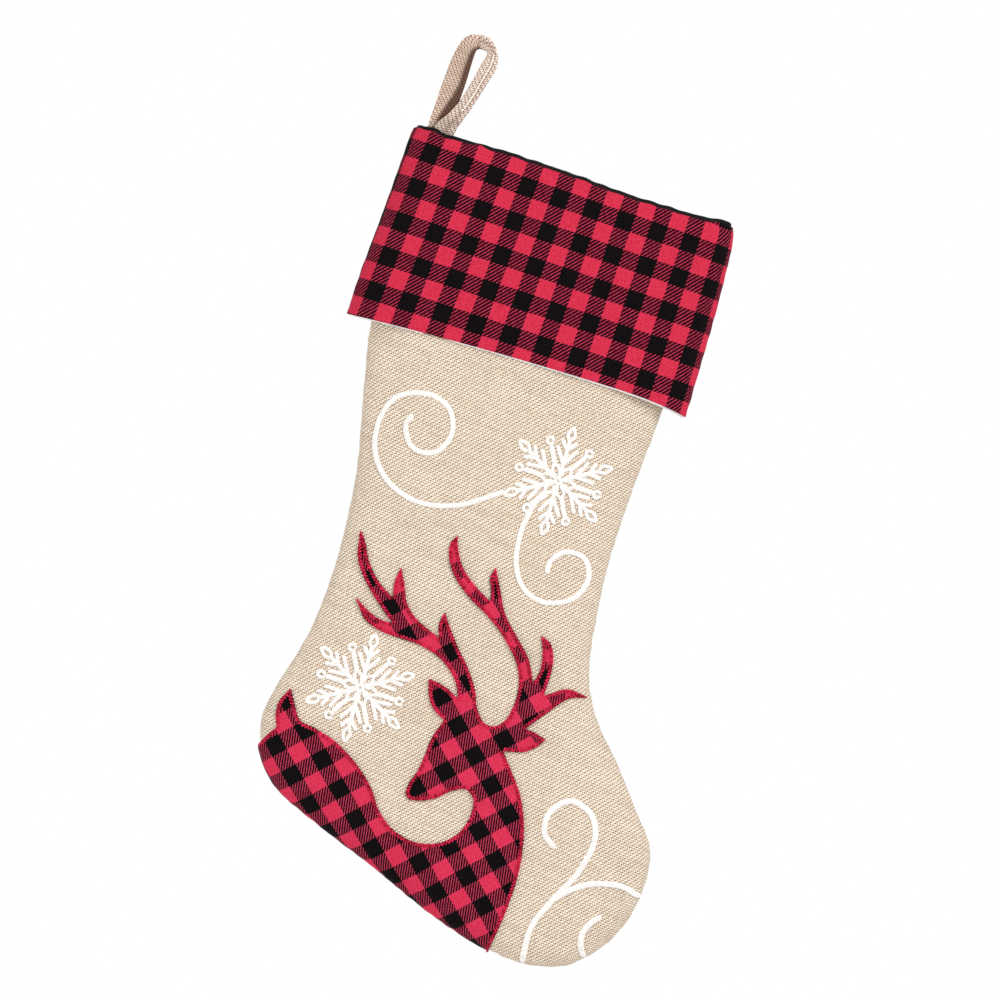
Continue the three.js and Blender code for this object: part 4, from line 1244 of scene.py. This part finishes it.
def along_loop(count):
    """Evenly spread fractional station numbers, from one end of the loop's strip to the other."""
    return np.linspace(0, len(LOOP_STATIONS) - 1, count)


def loop_section(where):
    """The strip's middle, half width and half thickness as vectors at fractional station numbers,
    and how far along the strip each lies."""
    outer = spline_at([(o[0], d[0], o[1]) for o, _, d, _ in LOOP_STATIONS], where)
    inner = spline_at([(i[0], d[1], i[1]) for _, i, d, _ in LOOP_STATIONS], where)
    thickness = spline_at([[t] for *_, t in LOOP_STATIONS], where)
    middle, half = (outer + inner) / 2, (outer - inner) / 2
    facing = np.cross(half, np.gradient(middle, axis=0))
    facing /= np.linalg.norm(facing, axis=1, keepdims=True)
    facing *= -np.sign(facing[:, 1:2] + 1e-9)
    run = run_along(middle)
    crease_at = np.interp(LOOP_CREASE["station"], where, run)
    crease = np.exp(-((run - crease_at) / LOOP_CREASE["width"]) ** 2)
    facing *= thickness / 2 * (1 - LOOP_CREASE["pinch"] * crease)[:, None]
    middle[:, 1] += LOOP_CREASE["back"] * crease
    return middle, half, facing, run


def loop_strip():
    """The folded burlap strip of the loop, from its tails inside the mouth up and over, with the
    width and the length of the strip."""
    stations, sides = 320, 44
    where = along_loop(stations)
    middle, half, facing, run = loop_section(where)
    angle = full_turn(sides)
    across = np.sign(np.cos(angle)) * np.abs(np.cos(angle)) ** 0.55
    bulge = np.sign(np.sin(angle)) * np.abs(np.sin(angle)) ** 0.6
    rings = middle[:, None] + half[:, None] * across[None, :, None] + facing[:, None] * bulge[None, :, None]
    first, full, fading, last = LOOP_CURL["stations"]
    curled = smoothstep(where, first, full) * (1 - smoothstep(where, fading, last))
    near_edge = smoothstep(-across, LOOP_CURL["share"], 1)
    rings[..., 1] -= LOOP_CURL["forward"] * curled[:, None] * near_edge[None]
    wobble = waves(21, 6, 6, 18)
    rings[..., 1] += LOOP_WOBBLE * wobble(run[:, None] + 0 * across[None], across[None] * 6)
    width = np.linalg.norm(half, axis=1)
    thick = np.linalg.norm(facing, axis=1)
    cloth_across = across[None] * width[:, None] + 0.8 * bulge[None] * thick[:, None]
    cloth = np.stack(np.broadcast_arrays(cloth_across, run[:, None]), -1)
    piece = make_piece("loop_strip", rings, capped_tube(stations, sides), cloth, STRIP_BURLAP)
    return piece, 2 * float(width.mean()), float(run[-1])


def loop_seam():
    """The strip's own line of machine stitches, down the face of its front leg."""
    seam = LOOP_SEAM
    low, high = seam["stations"]
    where = along_loop(1281)
    middle, half, facing, _ = loop_section(where)
    line = (middle + half * seam["across"] + facing)[(where >= low) & (where <= high)]
    line[:, 1] -= seam["lift"]
    count = int(length_of(line) / seam["spacing"])
    paths = evenly(line, count * seam["steps"] + 1)[:-1].reshape(count, seam["steps"], 3)
    paths[:, [0, -1], 1] += seam["sunk"]
    normals = np.broadcast_to(-OUT, paths.shape)
    return tubes("loop_seam_stitches", paths, normals, seam["radius"], 7, paths[:, 0, [0, 2]], LOOP_THREAD)


def bar_tack():
    """The close zigzag that holds the loop's two ends together inside the mouth."""
    bar = BAR_TACK
    across = np.linspace(bar["left"], bar["right"], 46)
    heights = (bar["top"], bar["bottom"])
    ends = np.array([(u, bar["depth"], heights[k % 2]) for k, u in enumerate(across)])
    shares = np.linspace(0, 1, 5)[None, :, None]
    paths = ends[:-1, None] + (ends[1:] - ends[:-1])[:, None] * shares
    normals, shades = np.broadcast_to(-OUT, paths.shape), ends[:-1][:, [0, 2]]
    return tubes("loop_tack_stitches", paths, normals, bar["radius"], 6, shades, SEAM_THREAD)


loop, loop_width, loop_length = loop_strip()
standing_for(loop, "burlap", "hang_loop", "loop_tails")
loop_thread = standing_for(loop_seam(), "seam_thread", "loop_seam_stitching")
tack = standing_for(bar_tack(), "seam_thread", "loop_bar_tack")


# ======== Riding, and the cut cloth's sizes ===

stocking_pieces = [
    burlap_front, burlap_back, bag_front, bag_back, overlock, deer_cloth, deer_thread, body_thread,
    *cuff_threads, *embroidery, *cuff_pieces["front"], *cuff_pieces["back"], tack,
]
for piece in stocking_pieces:
    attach(piece, "stocking")


def cut_line(envelope):
    """The closed outline of a cloth cut to an envelope."""
    return np.vstack([spline(envelope.heel_points, 200), spline(envelope.toe_points, 200)[::-1]])


def cut_size(outline, allowance=0.0):
    """Width, length and area of a cloth cut to an outline, in metres, with an allowance in its length."""
    u, v = outline.T
    area = abs((u * np.roll(v, -1) - v * np.roll(u, -1)).sum()) / 2 + allowance * np.ptp(u)
    flat = (float(np.ptp(u)) * MM, float(np.ptp(v) + allowance) * MM)
    return {"flat": flat, "area": float(area) * MM * MM}


HEM_ALLOWANCE, ROLL_ALLOWANCE = 1.7, 3.5
body_cut, facing_cut = cut_size(cut_line(body)), cut_size(cut_line(cuff))
cuff_cut = cut_size(cut_line(cuff), HEM_ALLOWANCE + ROLL_ALLOWANCE)

# Two points in line with the hinge, above the mouth's rim and at it.
bend_top, bend_bottom = (Vector(to_row([HINGE_ON_PATTERN[0], 0.0, v])) for v in (26.0, 1.0))
for piece in (loop, loop_thread):
    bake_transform(piece)


# ======== Camera, light and stage ========

VIEW_WIDTH = 0.595
VIEW_CENTRE = (0.0100, -0.2671)
CAMERA_DISTANCE = 5.0
LIGHT_AIM = Vector((0, 0, -0.25))
LIT_STRENGTH, SEEN_STRENGTH = 0.62, 1.0
FLOOR_DROP, FLOOR_RADIUS = 0.22, 1.1

camera_data = bpy.data.cameras.new("camera")
camera_data.sensor_width = 36
camera_data.lens = camera_data.sensor_width * CAMERA_DISTANCE / VIEW_WIDTH
camera = add_to_scene("camera", camera_data)
camera.location = (VIEW_CENTRE[0], -CAMERA_DISTANCE, VIEW_CENTRE[1])
camera.rotation_euler = (math.pi / 2, 0, 0)
bpy.context.scene.camera = camera


def softbox(name, location, size, power):
    """A square area light that faces the stocking's middle."""
    data = bpy.data.lights.new(name, "AREA")
    data.shape, data.size, data.energy = "SQUARE", size, power
    light = add_to_scene(name, data)
    light.location = location
    light.rotation_euler = (LIGHT_AIM - Vector(location)).to_track_quat("-Z", "Y").to_euler()


softbox("key_light", (1.25, -1.5, 0.8), 1.1, 34)
softbox("fill_light", (-1.6, -0.9, -0.1), 1.4, 13)
softbox("rear_light", (-0.6, 1.7, 0.6), 1.4, 16)


def pale_room():
    """White surroundings that light the stocking less than they show to the camera."""
    world = bpy.data.worlds.new("pale_room")
    world.use_nodes = True
    nodes, links = world.node_tree.nodes, world.node_tree.links
    background = next(n for n in nodes if n.type == "BACKGROUND")
    output = next(n for n in nodes if n.type == "OUTPUT_WORLD")
    seen = nodes.new("ShaderNodeBackground")
    choose = nodes.new("ShaderNodeMixShader")
    path = nodes.new("ShaderNodeLightPath")
    for made, strength in ((background, LIT_STRENGTH), (seen, SEEN_STRENGTH)):
        made.inputs["Color"].default_value = WHITE
        made.inputs["Strength"].default_value = strength
    links.new(path.outputs["Is Camera Ray"], choose.inputs[0])
    links.new(background.outputs[0], choose.inputs[1])
    links.new(seen.outputs[0], choose.inputs[2])
    links.new(choose.outputs[0], output.inputs["Surface"])
    bpy.context.scene.world = world


pale_room()
bpy.context.scene.view_settings.view_transform = "Standard"


def pale_floor():
    """A pale round floor below the hanging stocking."""
    s = Shader("pale_floor")
    grain = s.noise(s.node("ShaderNodeTexCoord", "Object", {}), 6.0, 3.0)
    colour = s.mix(s.ramp(grain, 0.3, 0.7), srgb(240, 240, 240), srgb(246, 246, 246))
    level = cad_bounds[0].z - FLOOR_DROP
    ring = [(FLOOR_RADIUS * math.cos(turn), FLOOR_RADIUS * math.sin(turn), level) for turn in full_turn(96)]
    mesh = bpy.data.meshes.new("floor")
    mesh.from_pydata(ring, [], [range(len(ring))])
    mesh.materials.append(s.finish(colour, 0.9))
    add_to_scene("floor", mesh)


pale_floor()
